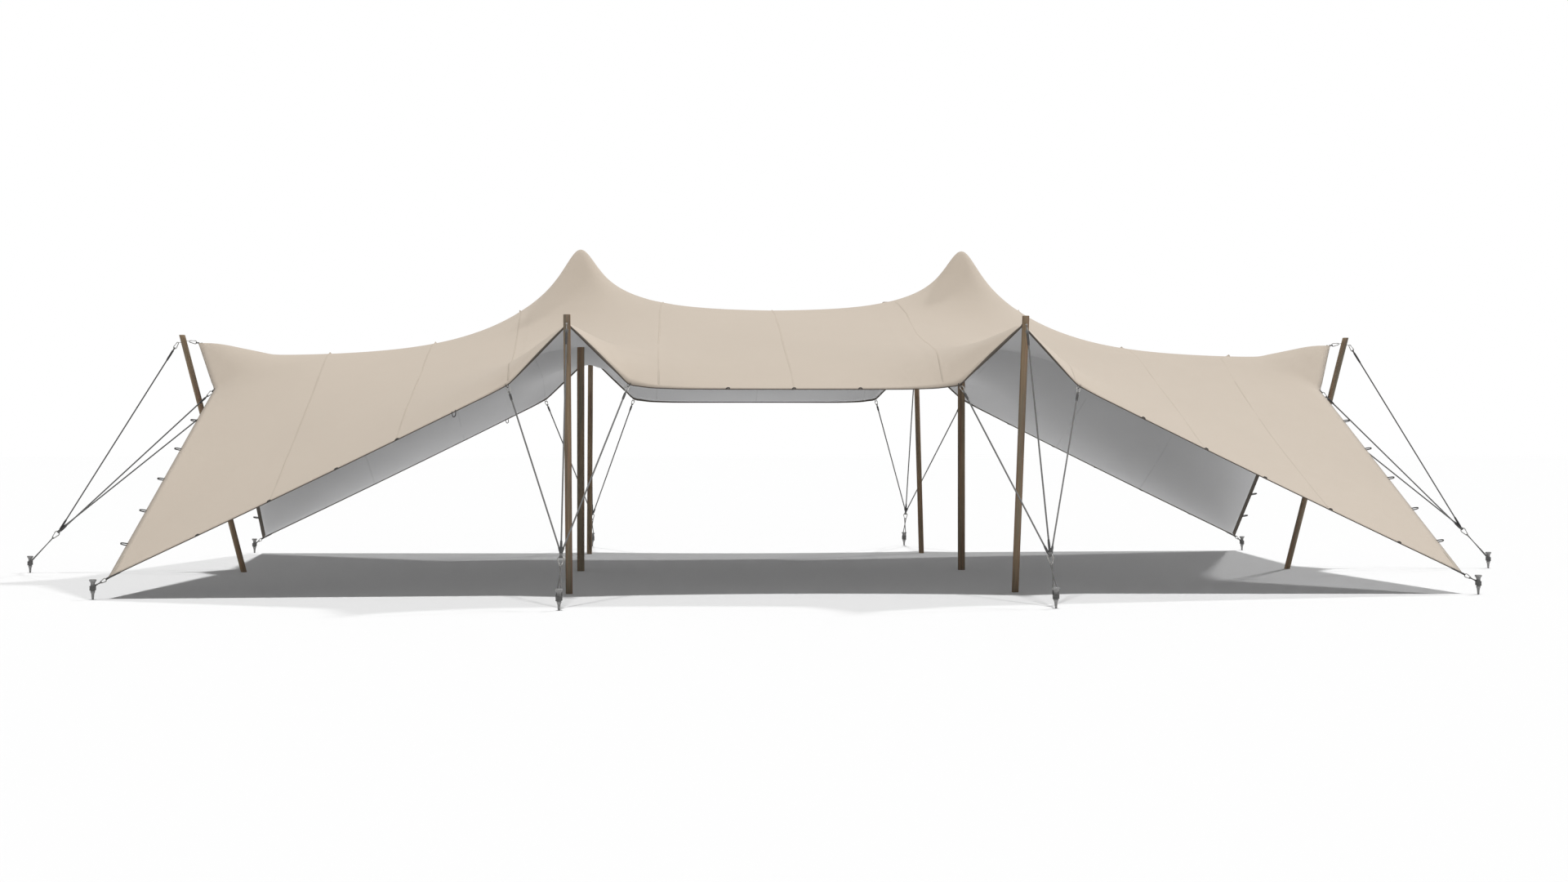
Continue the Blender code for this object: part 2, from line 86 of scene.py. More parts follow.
# The cloth: where its strips are sewn together, how stiffly it bends, and its cut size
SEAMS = (-5.40, -4.13, -2.98, -1.40, 0.0, 1.56, 2.97, 4.35, 5.58)
LAST_STRIP = 5.60
BEND_LENGTH = 0.35
HEM_REACH = 4.6
CLOTH_THICKNESS = 0.003
GRID_X = (0.0, 0.7, 1.45, 1.728, 2.0, 2.2, 2.3, PEAK_X, 2.408, 2.51, 2.7, 2.85, 2.986, 3.55, 4.25,
          4.9, 5.6, 6.1, 6.55, 7.0)
GRID_Y = (0.0, 0.055, 0.15, 0.32, 0.615, 1.2, 2.0, 2.9, 3.75, 4.45, 4.86)
GRID_PARTS = 3
FOLD_DEPTH = 0.002
FOLD_REACH = 0.38
FOLDS = 8
HOLLOW_DEPTH = 0.12
HOLLOW_SHARE_IN_FRONT = 0.35
HOLLOW_START = 0.15
HOLLOW_END = 0.60
HOLLOW_MIDDLE_Y = 3.65
HOLLOW_REACH_Y = 0.60
# Painted light on the steep cloth: how far it reaches round the side poles' heads and ties, and how
# much more it is there
PAINTED_LIGHT_REACH = 0.5
PAINTED_LIGHT_AT_HEADS = 0.3

# Hem, seams and the loops that are sewn to the hem. The hem's first three rows are widths on the
# long sides, by their poles' heads and on the ends
HEM_LAP_OUTSIDE = (0.0065, 0.042, 0.0006)
HEM_LAP_INSIDE = (0.030, 0.030, 0.048)
HEM_BULGE = (0.0040, 0.0100, 0.0006)
HEM_GAP = 0.0001
HEM_WEBBING_THICKNESS = 0.0022
HEM_FOLD_WIDTH = 0.022
HEM_SLOT_DEPTH = 0.0005
HEM_STITCH_ROWS = (0.0052, 0.0262)
SEAM_WIDTH = 0.026
SEAM_HEIGHT = 0.0036
SEAM_SINK = 0.0003
SEAM_PROFILE = ((-0.5, 0.0), (-0.25, 0.65), (0.0, 1.0), (0.25, 0.65), (0.5, 0.0))
SEAM_PARTS = 3
SEAM_CHANGES_PER_METRE = (0.5, 1.7, 13.0)
SEAM_FULLNESS = (0.6, 1.3, 0.4)
SEAM_FULLNESS_LIMITS = (0.15, 1.6)
SEAM_GATHER = 0.021
SEAM_GATHER_BETWEEN_PEAKS = 0.009
SEAM_GATHER_REACH = 0.08
SEAM_WANDER = 0.02
SEAM_STITCH_ROWS = (0.0085,)
SEAM_BEND_FADE = 1.1
SEAM_BEND_ROWS = (0.0, 0.3, 0.9, 2.9, 4.6)
SEAM_BENDS = (
    (0.0, 0.0, 0.0, 0.0, 0.0),
    (0.0, 0.0, 0.0, 0.0, 0.0),
    (-0.12, -0.10, -0.09, -0.07, 0.0),
    (0.07, 0.05, 0.02, 0.0, -0.01),
    (0.0, 0.0, 0.0, 0.0, 0.0),
    (-0.19, -0.07, 0.02, 0.06, 0.01),
    (0.09, 0.08, 0.07, 0.05, 0.0),
    (0.01, 0.02, 0.04, 0.03, -0.03),
    (0.13, -0.04, -0.06, -0.02, 0.02),
)
LOOP_REACH = 0.070
LOOP_SPREAD = 0.040
LOOP_BAND = 0.014
LOOP_THICKNESS = 0.0042
HANGING_LOOP_THICKNESS = 0.0095
LOOP_STEPS = 13
LOOP_SQUARENESS = 0.8
LOOP_TUCK = 0.012
LOOPS_ON_LONG_HEM = {-1: (0.137, 0.282, 0.435, 0.603, 0.781),
                     1: (0.170, 0.334, 0.487, 0.657, 0.835)}
LOOPS_ON_END_HEM = (0.190, 0.354, 0.518, 0.682, 0.846)
LOOPS_IN_MIDDLE = (-0.70, 0.0, 0.70)
LOOP_LIFT_FRONT = 0.16
LOOP_LIFT_BACK = 0.10
LOOP_LIFT_HANGING = -1.1
LOOP_RAISE = 0.003
TIE_LOOP_REACH = 0.040
TIE_LOOP_SPREAD = 0.030
TIE_LOOP_TUCK = 0.004
END_HEM_RUN = (0, 0.9, 0.43)
CORNER_LOOP_REACH = 0.032
CORNER_STRAP_LENGTH = 0.14
CORNER_STRAP_PROFILE = ((0.011, 0.0045), (0.008, 0.0065), (-0.008, 0.0065), (-0.011, 0.0045),
                        (-0.011, -0.0045), (-0.008, -0.0065), (0.008, -0.0065), (0.011, -0.0045))
CORNER_STRAP_THICKNESS = ((0.0, 0.35), (0.2, 1.0), (0.85, 1.0), (1.0, 0.5))
ZIGZAG_START = 0.05
ZIGZAG_LENGTH = 0.36
ZIGZAG_PITCH = 0.030
ZIGZAG_INSETS = (0.030, 0.050)
ZIGZAG_THREAD = 0.0022

# Poles
CENTRE_POLE_RADIUS = 0.046
EDGE_POLE_RADIUS = 0.038
SIDE_POLE_FOOT_Y = 4.33
SIDE_POLE_TOP_Y = 5.05
END_POLE_FOOT_X = 6.45
END_POLE_TOP_X = 7.195
EDGE_POLE_HEIGHT = 2.892
POLE_SIDES = 40
POLE_RINGS = 64
POLE_CHAMFER = 0.004
POLE_UNEVENNESS = 0.0012
GUY_POLE_Z = 2.80

# Stakes and the joints above them
SIDE_STAKE = (2.370, 6.77)
END_STAKE_X = 9.015
CORNER_STAKE = (7.13, 4.96)
STAKE_SIDES = 32
STAKE_NECK_RADIUS = 0.0215
# The turned stake from its foot to its top, as (radius, height) points
STAKE_PROFILE = (
    (0.006, 0.0), (0.0095, 0.0015), (0.0110, 0.006), (0.0145, 0.050), (0.0165, 0.060),
    (0.0220, 0.074), (0.0235, 0.080), (0.0235, 0.084), (0.0215, 0.087), (0.0215, 0.134),
    (0.0230, 0.138), (0.0230, 0.144), (0.0210, 0.148), (0.0210, 0.160), (0.0235, 0.172),
    (0.0300, 0.183), (0.0350, 0.188), (0.0368, 0.192), (0.0368, 0.200), (0.0350, 0.2035),
    (0.0300, 0.205), (0.0140, 0.205), (0.0125, 0.2035), (0.004, 0.2035),
)
SIDE_JOINT = (2.362, 6.485, 0.498)
END_JOINT = (8.675, 0.0, 0.498)

# Ropes and hooks. A bar's rounded end is given as (distance past it, radius), in its own radii, and
# a gate as (radius, distance) points from each of its ends, in radii of the hook's bar
ROUNDED_END = ((0.45, 0.5), (0.25, 0.85))
GATE_NOSE = ((0.3, 0.2), (1.12, 0.3), (1.12, 2.2), (0.72, 2.6))
GATE_HINGE = ((0.72, 3.0), (1.05, 2.6), (1.05, 0.4), (0.3, 0.2))
GATE_PIN = ((0.2, 0.0), (0.5, 0.0), (0.5, 3.0), (0.2, 3.0))
GATE_PIN_PLACE = 1.4
BAR_SIDES = 12
PIN_SIDES = 10
THIN_SIDES = 8
THREAD_SIDES = 6
HOOK_STEPS = (15, 11)
EYE_STEPS = 16
BEND_STEPS = 13
ROPE_RADIUS = 0.0084
ROPE_SIDES = 10
SLEEVE_RADIUS = 0.0125
SLEEVE_LENGTH = 0.145
TIE_SLEEVE_LENGTH = 0.100
SLEEVE_RIBS = 24
SLEEVE_RIB_HEIGHT = 0.0005
SLEEVE_TAPER_START = 0.72
SLEEVE_NOSE = 0.22
SLEEVE_NOSE_END = 0.08
SLEEVE_OVER_EYE = 0.008
SLEEVE_OVER_ROPE = 0.020
ROPE_EYE_NECK = 0.020
ROPE_EYE_GAP = 0.0035
ROPE_EYE_DEGREES = (125, -125)
ROPE_EYE_THINNING = 0.85
SLING_RADIUS = 0.0062
HOOK_BAR = 0.0048
HOOK_LENGTH = 0.088
HOOK_WIDE = 0.0185
HOOK_NARROW = 0.0105
CORNER_HOOK_LENGTH = 0.06864
JOINT_HOOK_LENGTH = 0.107
JOINT_HOOK_WIDE = 0.028
JOINT_HOOK_NARROW = 0.012075
JOINT_HOOK_BAR = 0.00576
JOINT_ROPE_SPACING = 0.009
EYE_BAR = 0.003
EYE_RADIUS = 0.011
EYE_SHANK = (-0.006, 0.004)
HEAD_EYE_RAISE = 0.025
SLING_Z = 0.125
WINDING_LOW_Z = 0.087
WINDING_TURNS = 4
WINDING_PITCH = 1.818 * SLING_RADIUS
WINDING_STEPS = 20
SLING_BEND_DEGREES = (-100, 100, 9)
SLING_WRAP_DEGREES = (80, 280, 11)

# Finishes. Tones are red, green and blue; a woven finish has a light one and a dark one.
SAND = ((0.506, 0.437, 0.362), (0.475, 0.410, 0.339))
WOVEN_FINISHES = {
    # The sand cloth gets painted light where it is steep
    "sand_cloth": dict(tones=SAND, threads=700.0, rough=0.86, mottle_scale=0.45, sheen=0.10,
                       painted_light_on_steep=0.45),
    "grey_lining": dict(tones=((0.770, 0.770, 0.775), (0.720, 0.720, 0.725)), threads=700.0,
                        rough=0.84, mottle_scale=0.5),
    "sand_seam": dict(tones=SAND, threads=500.0, rough=0.86, mottle_scale=3.0,
                      stitch_rows=SEAM_STITCH_ROWS, thread=(0.44, 0.38, 0.31)),
    "grey_seam": dict(tones=((0.72, 0.72, 0.725), (0.68, 0.68, 0.685)), threads=500.0, rough=0.86,
                      mottle_scale=3.0, stitch_rows=SEAM_STITCH_ROWS, thread=(0.60, 0.60, 0.60)),
    "hem_webbing": dict(tones=((0.125, 0.106, 0.087), (0.098, 0.083, 0.068)), threads=350.0,
                        rough=0.88, mottle_scale=5.0, depth=0.0006, stitch_rows=HEM_STITCH_ROWS,
                        thread=(0.16, 0.145, 0.13)),
    "loop_webbing": dict(tones=((0.105, 0.100, 0.096), (0.078, 0.074, 0.071)), threads=380.0,
                         rough=0.85, mottle_scale=8.0, depth=0.0006),
    "light_thread": dict(tones=((0.78, 0.74, 0.66), (0.70, 0.66, 0.58)), threads=900.0, rough=0.7,
                         mottle_scale=12.0, depth=0.0002),
}
STEEL_FINISHES = {
    "stake_steel": dict(base=(0.29, 0.29, 0.288), rough=0.48, rust=0.22, metallic=0.6),
    "hook_steel": dict(base=(0.30, 0.295, 0.28), rough=0.48, rust=0.08, metallic=0.45),
}
ROPE_FINISHES = {
    "guy_rope": dict(base=(0.182, 0.180, 0.177), pitch=0.011, strands=4.0, depth=0.0008),
    "rope_sleeve": dict(base=(0.078, 0.077, 0.077), pitch=0.006, strands=1.0, depth=0.0004),
}

# Camera, at the photograph's place, and the stage
CAMERA_PLACE = (-1.531, -29.392, 1.62)
CAMERA_TURN = -0.0571
CAMERA_LENS = 54.70
CAMERA_SHIFT_Y = -0.00108
FLOOR_SIZE = 400.0
FLOOR_TONE = (0.730, 0.730, 0.730, 1.0)
SURROUND_STRENGTH = 0.275
# Each distant light's name, strength, way of travel and softness in degrees
LIGHTS = (
    ("overhead light", 2.56, (0, 0, -1), 4.0),
    ("side light", 1.24, (-0.707, -0.85, -1.0), 4.0),
    ("front fill light", 0.22, (0, 1, -0.02), 30.0),
)


# Directions and lines

def unit(vectors):
    """The same directions with length one."""
    vectors = np.asarray(vectors, float)
    return vectors / np.linalg.norm(vectors, axis=-1, keepdims=True)


def square_to(vectors, directions):
    """The part of each vector that is square to its direction, with length one."""
    return unit(vectors - np.sum(vectors * directions, axis=-1, keepdims=True) * directions)


def any_across(direction):
    """Some direction that is square to another one."""
    return unit(np.cross(direction, np.eye(3)[np.argmin(abs(direction))]))


def tangents(line, closed=False):
    """The direction of a line at each of its points."""
    if closed:
        return unit(np.roll(line, -1, 0) - np.roll(line, 1, 0))
    return unit(np.gradient(line, axis=0))


def carried_frames(line, closed=False):
    """Two directions across a line at each point, carried along it without twisting."""
    forward = tangents(line, closed)
    side = [any_across(forward[0])]
    for direction in forward[1:]:
        side.append(square_to(side[-1], direction))
    return np.array(side), np.cross(forward, side)


def full_turn(steps):
    """Evenly spaced angles all the way round."""
    return 2 * np.pi * np.arange(steps) / steps


def arc(middle, first, second, radius, turns):
    """Points on a circle, by how far each has turned from the first direction to the second."""
    return middle + radius * (np.outer(np.cos(turns), first) + np.outer(np.sin(turns), second))


def circles(radii, sides):
    """Flat circles of the given radii, one for each point of a line."""
    turns = full_turn(sides)
    return np.asarray(radii, float)[:, None, None] * np.stack((np.cos(turns), np.sin(turns)), axis=1)


def between(first, second, share):
    return [start + share * (end - start) for start, end in zip(first, second)]


def mirrored(place, x_sign, y_sign):
    return (place[0] * x_sign, place[1] * y_sign, *place[2:])


# Making meshes

class Shape:
    """The points and faces of one piece, gathered part by part, with each point's own grain place."""

    def __init__(self):
        self.points = []
        self.faces = []
        self.finishes = []
        self.grain = []

    def add(self, points, faces, grain, finish=0):
        start = len(self.points)
        self.points.extend(map(tuple, points))
        self.faces.extend(tuple(start + corner for corner in face) for face in faces)
        self.finishes.extend([finish] * len(faces))
        self.grain.extend(map(tuple, grain))

    def sweep(self, line, across, up, profile, closed=False, finish=0, distances=None):
        """Adds a profile that is carried along a line, its points measured along across and up.

        A point's grain place is its place in the profile and how far along the line it lies.
        """
        line = np.asarray(line, float)
        profile = np.broadcast_to(profile, (len(line), *np.shape(profile)[-2:]))
        across, up = (np.broadcast_to(way, line.shape)[:, None] for way in (across, up))
        points = line[:, None] + profile[..., :1] * across + profile[..., 1:] * up
        if distances is None:
            distances = np.append(0.0, np.cumsum(np.linalg.norm(np.diff(line, axis=0), axis=1)))
        distances = np.broadcast_to(distances[:, None, None], (*profile.shape[:2], 1))
        grain = np.concatenate((profile, distances), axis=2)
        index = np.arange(points[..., 0].size).reshape(points.shape[:2])
        beside, after = np.roll(index, -1, 1), np.roll(index, -1, 0)
        faces = np.stack((index, beside, np.roll(after, -1, 1), after), axis=2)
        faces = faces[:None if closed else -1].reshape(-1, 4).tolist()
        if not closed:
            faces += [index[0].tolist(), index[-1].tolist()]
        self.add(points.reshape(-1, 3), faces, grain.reshape(-1, 3), finish)


def make_piece(name, shape, finishes, replaced=(), sharp_degrees=40, closed=True):
    """One object from a shape: shaded smooth, riding on the tent, in its material slot."""
    mesh = bpy.data.meshes.new(name)
    mesh.from_pydata(shape.points, [], shape.faces)
    mesh.polygons.foreach_set("material_index", shape.finishes)
    grain = mesh.attributes.new("grain_place", "FLOAT_VECTOR", "POINT")
    grain.data.foreach_set("vector", np.array(shape.grain, np.float32).ravel())
    if closed:
        solid = bmesh.new()
        solid.from_mesh(mesh)
        bmesh.ops.recalc_face_normals(solid, faces=solid.faces[:])
        solid.to_mesh(mesh)
        solid.free()
    mesh.shade_smooth()
    mesh.set_sharp_from_angle(angle=math.radians(sharp_degrees))
    for finish in finishes:
        mesh.materials.append(MATERIALS[finish])
    piece = bpy.data.objects.new(name, mesh)
    bpy.context.scene.collection.objects.link(piece)
    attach(piece, "root")
    if replaced:
        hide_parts(*replaced)
    return piece


def add_tube(shape, line, radius, sides, closed=False, finish=0):
    """A round bar or rope along a line, with rounded ends unless it is closed."""
    line = np.asarray(line, float)
    radii = np.full(len(line), radius, float)
    if not closed:
        (far, tip), (near, shoulder) = ROUNDED_END
        first, last = unit(line[0] - line[1]) * radius, unit(line[-1] - line[-2]) * radius
        line = np.vstack((line[0] + first * far, line[0] + first * near, line,
                          line[-1] + last * near, line[-1] + last * far))
        radii = np.concatenate(([radius * tip, radius * shoulder], radii,
                                [radius * shoulder, radius * tip]))
    shape.sweep(line, *carried_frames(line, closed), circles(radii, sides), closed, finish)


def add_turned(shape, start, direction, profile, sides, finish=0):
    """A shape turned about an axis, from a profile of (radius, distance along the axis) points."""
    radii, distances = np.array(profile, float).T
    direction = unit(direction)
    side = any_across(direction)
    shape.sweep(start + distances[:, None] * direction, side, np.cross(direction, side),
                circles(radii, sides), finish=finish, distances=distances)


def add_band(shape, line, width_along, width, thickness):
    """A flat strap along a line, whose width lies along the given direction."""
    forward = tangents(line)
    across = square_to(width_along, forward)
    half, edge = width / 2, thickness / 2
    profile = np.array([(half, 0.0), (half - edge, edge), (-half + edge, edge), (-half, 0.0),
                        (-half + edge, -edge), (half - edge, -edge)])
    shape.sweep(line, across, np.cross(forward, across), profile)


# The cloth's shape

def side_hem(x):
    """The distance from the middle and the height of the long hem, at each x of the quarter."""
    knots = np.array((HEM_MIDDLE, HEM_BEND_INNER, SIDE_HEAD, HEM_BEND_OUTER, CORNER))
    along = np.interp(x, knots[:, 0], range(len(knots)))
    first = np.clip(along.astype(int), 0, len(knots) - 2)
    share = (along - first)[:, None]
    share = np.where(first[:, None] == 0, share ** HEM_BOW, share)
    hem = knots[first, 1:] + share * (knots[first + 1, 1:] - knots[first, 1:])
    slopes = np.diff(knots[:, 1:], axis=0) / np.diff(knots[:, 0])[:, None]
    into = np.maximum(HEM_BEND_REACH - abs(x - HEM_BEND_OUTER[0]), 0.0)
    hem += (slopes[3] - slopes[2]) * (into ** 2 / (4 * HEM_BEND_REACH))[:, None]
    hem[:, 1] -= np.where(first == 3, 4 * HEM_SAG * (share * (1.0 - share))[:, 0], 0.0)
    return hem[:, 0], hem[:, 1]


def side_ties():
    """The places on the long hem that the two outer guys of a side pole hold."""
    x = np.array((HEM_BEND_INNER[0], HEM_BEND_OUTER[0]))
    return [tuple(map(float, place)) for place in zip(x, *side_hem(x))]


def end_hem(y):
    """How far out and how high the short hem lies, at each y of the quarter."""
    knots = np.array((END_HEAD, END_TIE, CORNER))
    return np.interp(y, knots[:, 1], knots[:, 0]), np.interp(y, knots[:, 1], knots[:, 2])


def below_peak(distance, fall, length):
    """How far a ridge lies below its peak: it falls fast at the tip and slower after it."""
    rounded = np.hypot(distance, TIP_ROUNDING) - TIP_ROUNDING
    tip = TIP_FALL * (1.0 - np.exp(-rounded / TIP_LENGTH))
    return tip + (fall - TIP_FALL) * (1.0 - np.exp(-rounded / length))


def ridge_to_pole(distance, fall, head, lift_length):
    """The height of a ridge that falls from a peak and rises again to an edge pole's head.

    The head is given as its distance from the peak and its height.
    """
    past_fold = distance - (head[0] - lift_length)
    share = (past_fold + np.hypot(past_fold, FOLD_ROUNDING)) / (2 * lift_length)
    rise = 1.0 - np.maximum(1.0 - share, 0.0) ** HEAD_LIFT_BOW
    height = PEAK_Z - below_peak(distance, fall, FALL_LENGTH_TO_EDGE)
    return height + (head[1] - (PEAK_Z - fall)) * rise


def ridge_between_peaks(distance):
    return PEAK_Z - below_peak(distance, FALL_BETWEEN_PEAKS, FALL_LENGTH_BETWEEN)


def plan_grid(columns, rows):
    """Where the quarter's grid points lie, seen from above."""
    out, _ = end_hem(rows)
    reach, _ = side_hem(np.append(columns[:-1], CORNER[0]))
    last_strip = np.clip((columns - LAST_STRIP) / (END_HEAD[0] - LAST_STRIP), 0.0, 1.0)[:, None]
    x = columns[:, None] + last_strip * (out - END_HEAD[0])[None, :]
    share = (rows / rows[-1])[None, :]
    y = share * (HEM_REACH + (reach - HEM_REACH)[:, None] * share ** 3)
    y = y + last_strip ** 2 * (rows[None, :] - y)
    y[:, -1] = reach
    return x, y


def fixed_heights(x, y, columns, rows):
    """The heights that the hem, the ridges and the peak set, and NaN where the cloth is free."""
    z = np.full(x.shape, np.nan)
    peak = int(np.argmin(abs(columns - PEAK_X)))
    end_head = (END_HEAD[0] - PEAK_X, END_HEAD[2])
    z[:peak + 1, 0] = ridge_between_peaks(PEAK_X - x[:peak + 1, 0])
    z[peak:, 0] = ridge_to_pole(x[peak:, 0] - PEAK_X, FALL_TO_END, end_head, LIFT_LENGTH_AT_END)
    z[peak, :] = ridge_to_pole(y[peak, :], FALL_TO_SIDE, SIDE_HEAD[1:], LIFT_LENGTH_AT_SIDE)
    z[:, -1] = side_hem(np.append(columns[:-1], CORNER[0]))[1]
    z[-1, :] = end_hem(rows)[1]
    return z


def cell_widths(values, axis):
    """Half of the spacing to each neighbour along an axis, summed for each grid point."""
    half = np.moveaxis(np.diff(values, axis=axis) / 2.0, axis, 0)
    return np.moveaxis(np.pad(half, ((1, 0), (0, 0))) + np.pad(half, ((0, 1), (0, 0))), 0, axis)


def pull_matrix(x, y):
    """What each grid point is pulled by its neighbours, as the cloth's tension makes it."""
    index = np.arange(x.size).reshape(x.shape)
    widths = (cell_widths(x, 0), cell_widths(y, 1))
    matrix = np.zeros((x.size, x.size))
    for axis in (0, 1):
        length = np.hypot(np.diff(x, axis=axis), np.diff(y, axis=axis))
        length, numbers, across = (np.moveaxis(grid, axis, 0)
                                   for grid in (length, index, widths[1 - axis]))
        pull = ((across[:-1] + across[1:]) / 2 / length).ravel()
        first, second = numbers[:-1].ravel(), numbers[1:].ravel()
        for point, neighbour in ((first, second), (second, first)):
            np.add.at(matrix, (point, point), pull)
            np.add.at(matrix, (point, neighbour), -pull)
    return matrix, (widths[0] * widths[1]).ravel()


def relaxed_heights(x, y, z):
    """Lets the free points settle under tension and a little bending stiffness.

    The heights and the curvature at every point are solved together.
    """
    pull, area = pull_matrix(x, y)
    inside = np.ones(x.shape, bool)
    inside[-1, :] = False
    inside[:, -1] = False
    softness = np.where(inside.ravel(), 1.0 / np.maximum(area, 1e-9), 0.0)[:, None]
    heights = z.ravel().copy()
    free = np.isnan(heights)
    held = ~free
    balance = np.hstack((pull[np.ix_(free, free)], BEND_LENGTH ** 2 * pull[free]))
    curvature = np.hstack((softness * pull[:, free], -np.eye(len(heights))))
    load = -np.concatenate((pull[np.ix_(free, held)] @ heights[held],
                            (softness * pull[:, held]) @ heights[held]))
    heights[free] = np.linalg.solve(np.vstack((balance, curvature)), load)[:free.sum()]
    return heights.reshape(z.shape)


def split_lines(lines, parts):
    """Grid lines with equal steps added between them."""
    steps = np.arange((len(lines) - 1) * parts + 1) / parts
    return np.interp(steps, range(len(lines)), lines)


def doubled(grid, axis):
    """A grid with a point added halfway between its lines, on the smooth curve through them."""
    grid = np.moveaxis(grid, axis, 0)
    padded = np.concatenate(([2 * grid[0] - grid[1]], grid, [2 * grid[-1] - grid[-2]]))
    halfway = (9 * (padded[1:-2] + padded[2:-1]) - padded[:-3] - padded[3:]) / 16
    fine = np.empty((2 * len(grid) - 1, *grid.shape[1:]))
    fine[::2] = grid
    fine[1::2] = halfway
    return np.moveaxis(fine, 0, axis)


def grid_normals(places):
    """The upward direction across the cloth at each of its grid points."""
    normals = np.cross(np.gradient(places, axis=0), np.gradient(places, axis=1))
    return unit(normals)


def held_places():
    """Every place where the cloth is held: ties, pole heads and corners."""
    quarter = (*side_ties(), SIDE_HEAD, CORNER, END_TIE, END_HEAD)
    return sorted({(x * sign_x, y * sign_y, z) for x, y, z in quarter
                   for sign_x in (-1, 1) for sign_y in (-1, 1)})


def soft_folds(places):
    """How far the cloth rises in the shallow folds that fan out from the places where it is held."""
    rise = np.zeros(places.shape[:2])
    for held in held_places():
        away = places - np.array(held)
        distance = np.linalg.norm(away, axis=2)
        turn = np.arctan2(away[..., 1], away[..., 0])
        strength = distance / FOLD_REACH * np.exp(1.0 - distance / FOLD_REACH)
        rise += FOLD_DEPTH * strength * np.cos(FOLDS * turn)
    return rise


def ridge_hollows(places):
    """How far the cloth dips on the inner side of the ridges that run to the side poles."""
    beside = np.maximum(PEAK_X - abs(places[..., 0]), 0.0)
    across = (1.0 - np.exp(-(beside / HOLLOW_START) ** 2)) * np.exp(-(beside / HOLLOW_END) ** 2)
    along = np.exp(-((abs(places[..., 1]) - HOLLOW_MIDDLE_Y) / HOLLOW_REACH_Y) ** 2)
    return HOLLOW_DEPTH * across * along * np.where(places[..., 1] < 0, HOLLOW_SHARE_IN_FRONT, 1.0)


class Cloth:
    """The canopy's surface as a fine grid, which can be read at any place between its lines."""

    def __init__(self):
        columns = split_lines(GRID_X, GRID_PARTS)
        rows = split_lines(GRID_Y, GRID_PARTS)
        x, y = plan_grid(columns, rows)
        z = relaxed_heights(x, y, fixed_heights(x, y, columns, rows))
        quarter = np.stack((x, y, z), axis=2)
        half = np.concatenate((quarter[:, :0:-1] * (1, -1, 1), quarter), axis=1)
        whole = np.concatenate((half[:0:-1] * (-1, 1, 1), half), axis=0)
        whole = doubled(doubled(whole, 0), 1)
        self.normals = grid_normals(whole)
        rise = soft_folds(whole) - ridge_hollows(whole)
        self.places = whole + rise[..., None] * self.normals
        self.normals = grid_normals(self.places)
        self.columns = split_lines(np.concatenate((-columns[:0:-1], columns)), 2)
        self.rows = split_lines(np.concatenate((-rows[:0:-1], rows)), 2)

    def at(self, column, row):
        """The places and upward directions of the cloth, by how far along its columns and rows."""
        column = np.interp(column, self.columns, range(len(self.columns)))
        row = np.interp(row, self.rows, range(len(self.rows)))
        first = np.clip(column.astype(int), 0, len(self.columns) - 2)
        second = np.clip(row.astype(int), 0, len(self.rows) - 2)
        share = (column - first)[:, None]
        across = (row - second)[:, None]
        read = []
        for grid in (self.places, self.normals):
            low = grid[first, second] * (1 - share) + grid[first + 1, second] * share
            high = grid[first, second + 1] * (1 - share) + grid[first + 1, second + 1] * share
            read.append(low * (1 - across) + high * across)
        return read[0], unit(read[1])

    def pull(self):
        """How much painted light the cloth gets: more where it is steep, most by the side poles'
        heads.
        """
        held = [mirrored(place, x, y) for place in (*side_ties(), SIDE_HEAD)
                for x in (-1, 1) for y in (-1, 1)]
        away = [np.linalg.norm(self.places - np.array(place), axis=2) for place in held]
        near = np.clip(sum(np.exp(-(distance / PAINTED_LIGHT_REACH) ** 2) for distance in away), 0.0, 1.0)
        return (1.0 - abs(self.normals[..., 2])) * (1.0 + PAINTED_LIGHT_AT_HEADS * near)


def make_canopy(cloth):
    """The whole canopy as one sheet, sand outside and grey inside."""
    columns, rows = cloth.places.shape[:2]
    shape = Shape()
    index = np.arange(columns * rows).reshape(columns, rows)
    faces = np.stack((index[:-1, :-1], index[1:, :-1], index[1:, 1:], index[:-1, 1:]), axis=2)
    grain = np.stack((*np.meshgrid(cloth.columns, cloth.rows, indexing="ij"),
                      np.zeros((columns, rows))), axis=2)
    shape.add(cloth.places.reshape(-1, 3), faces.reshape(-1, 4).tolist(), grain.reshape(-1, 3))
    panels = [f"canopy_panel_{number:02d}" for number in range(1, 11)]
    canopy = make_piece("canopy", shape, ["sand_cloth", "grey_lining"],
                        panels, closed=False)
    # Painted light: a share for lightening the cloth, larger where it is steep
    steep_painted_light = canopy.data.attributes.new("steep_painted_light", "FLOAT", "POINT")
    steep_painted_light.data.foreach_set("value", cloth.pull().astype(np.float32).ravel())
    thicken = canopy.modifiers.new("cloth thickness", "SOLIDIFY")
    thicken.thickness = CLOTH_THICKNESS
    thicken.offset = 0.0
    thicken.material_offset = 1
    thicken.material_offset_rim = 1
    return canopy


def round_the_edge(grid):
    """The outer points of a grid in four runs: along its front, right, back and left."""
    return grid[:-1, 0], grid[-1, :-1], grid[:0:-1, -1], grid[0, :0:-1]


def hem_line(cloth):
    """The hem all round: its places, the ways in and up, and its laps outside and inside and bulge."""
    runs = round_the_edge(cloth.places)
    line, up = np.concatenate(runs), np.concatenate(round_the_edge(cloth.normals))
    on_long_side = np.repeat((True, False, True, False), [len(run) for run in runs])
    from_head = abs(abs(line[:, 0]) - PEAK_X) / (HEM_BEND_OUTER[0] - PEAK_X)
    near_head = np.clip(2.0 - 2.0 * from_head, 0.0, 1.0)
    widths = [np.where(on_long_side, long + (head - long) * near_head, end)
              for long, head, end in (HEM_LAP_OUTSIDE, HEM_LAP_INSIDE, HEM_BULGE)]
    forward = tangents(line, closed=True)
    inward = unit(np.cross(up, forward))
    return line, inward, unit(np.cross(forward, inward)), *widths


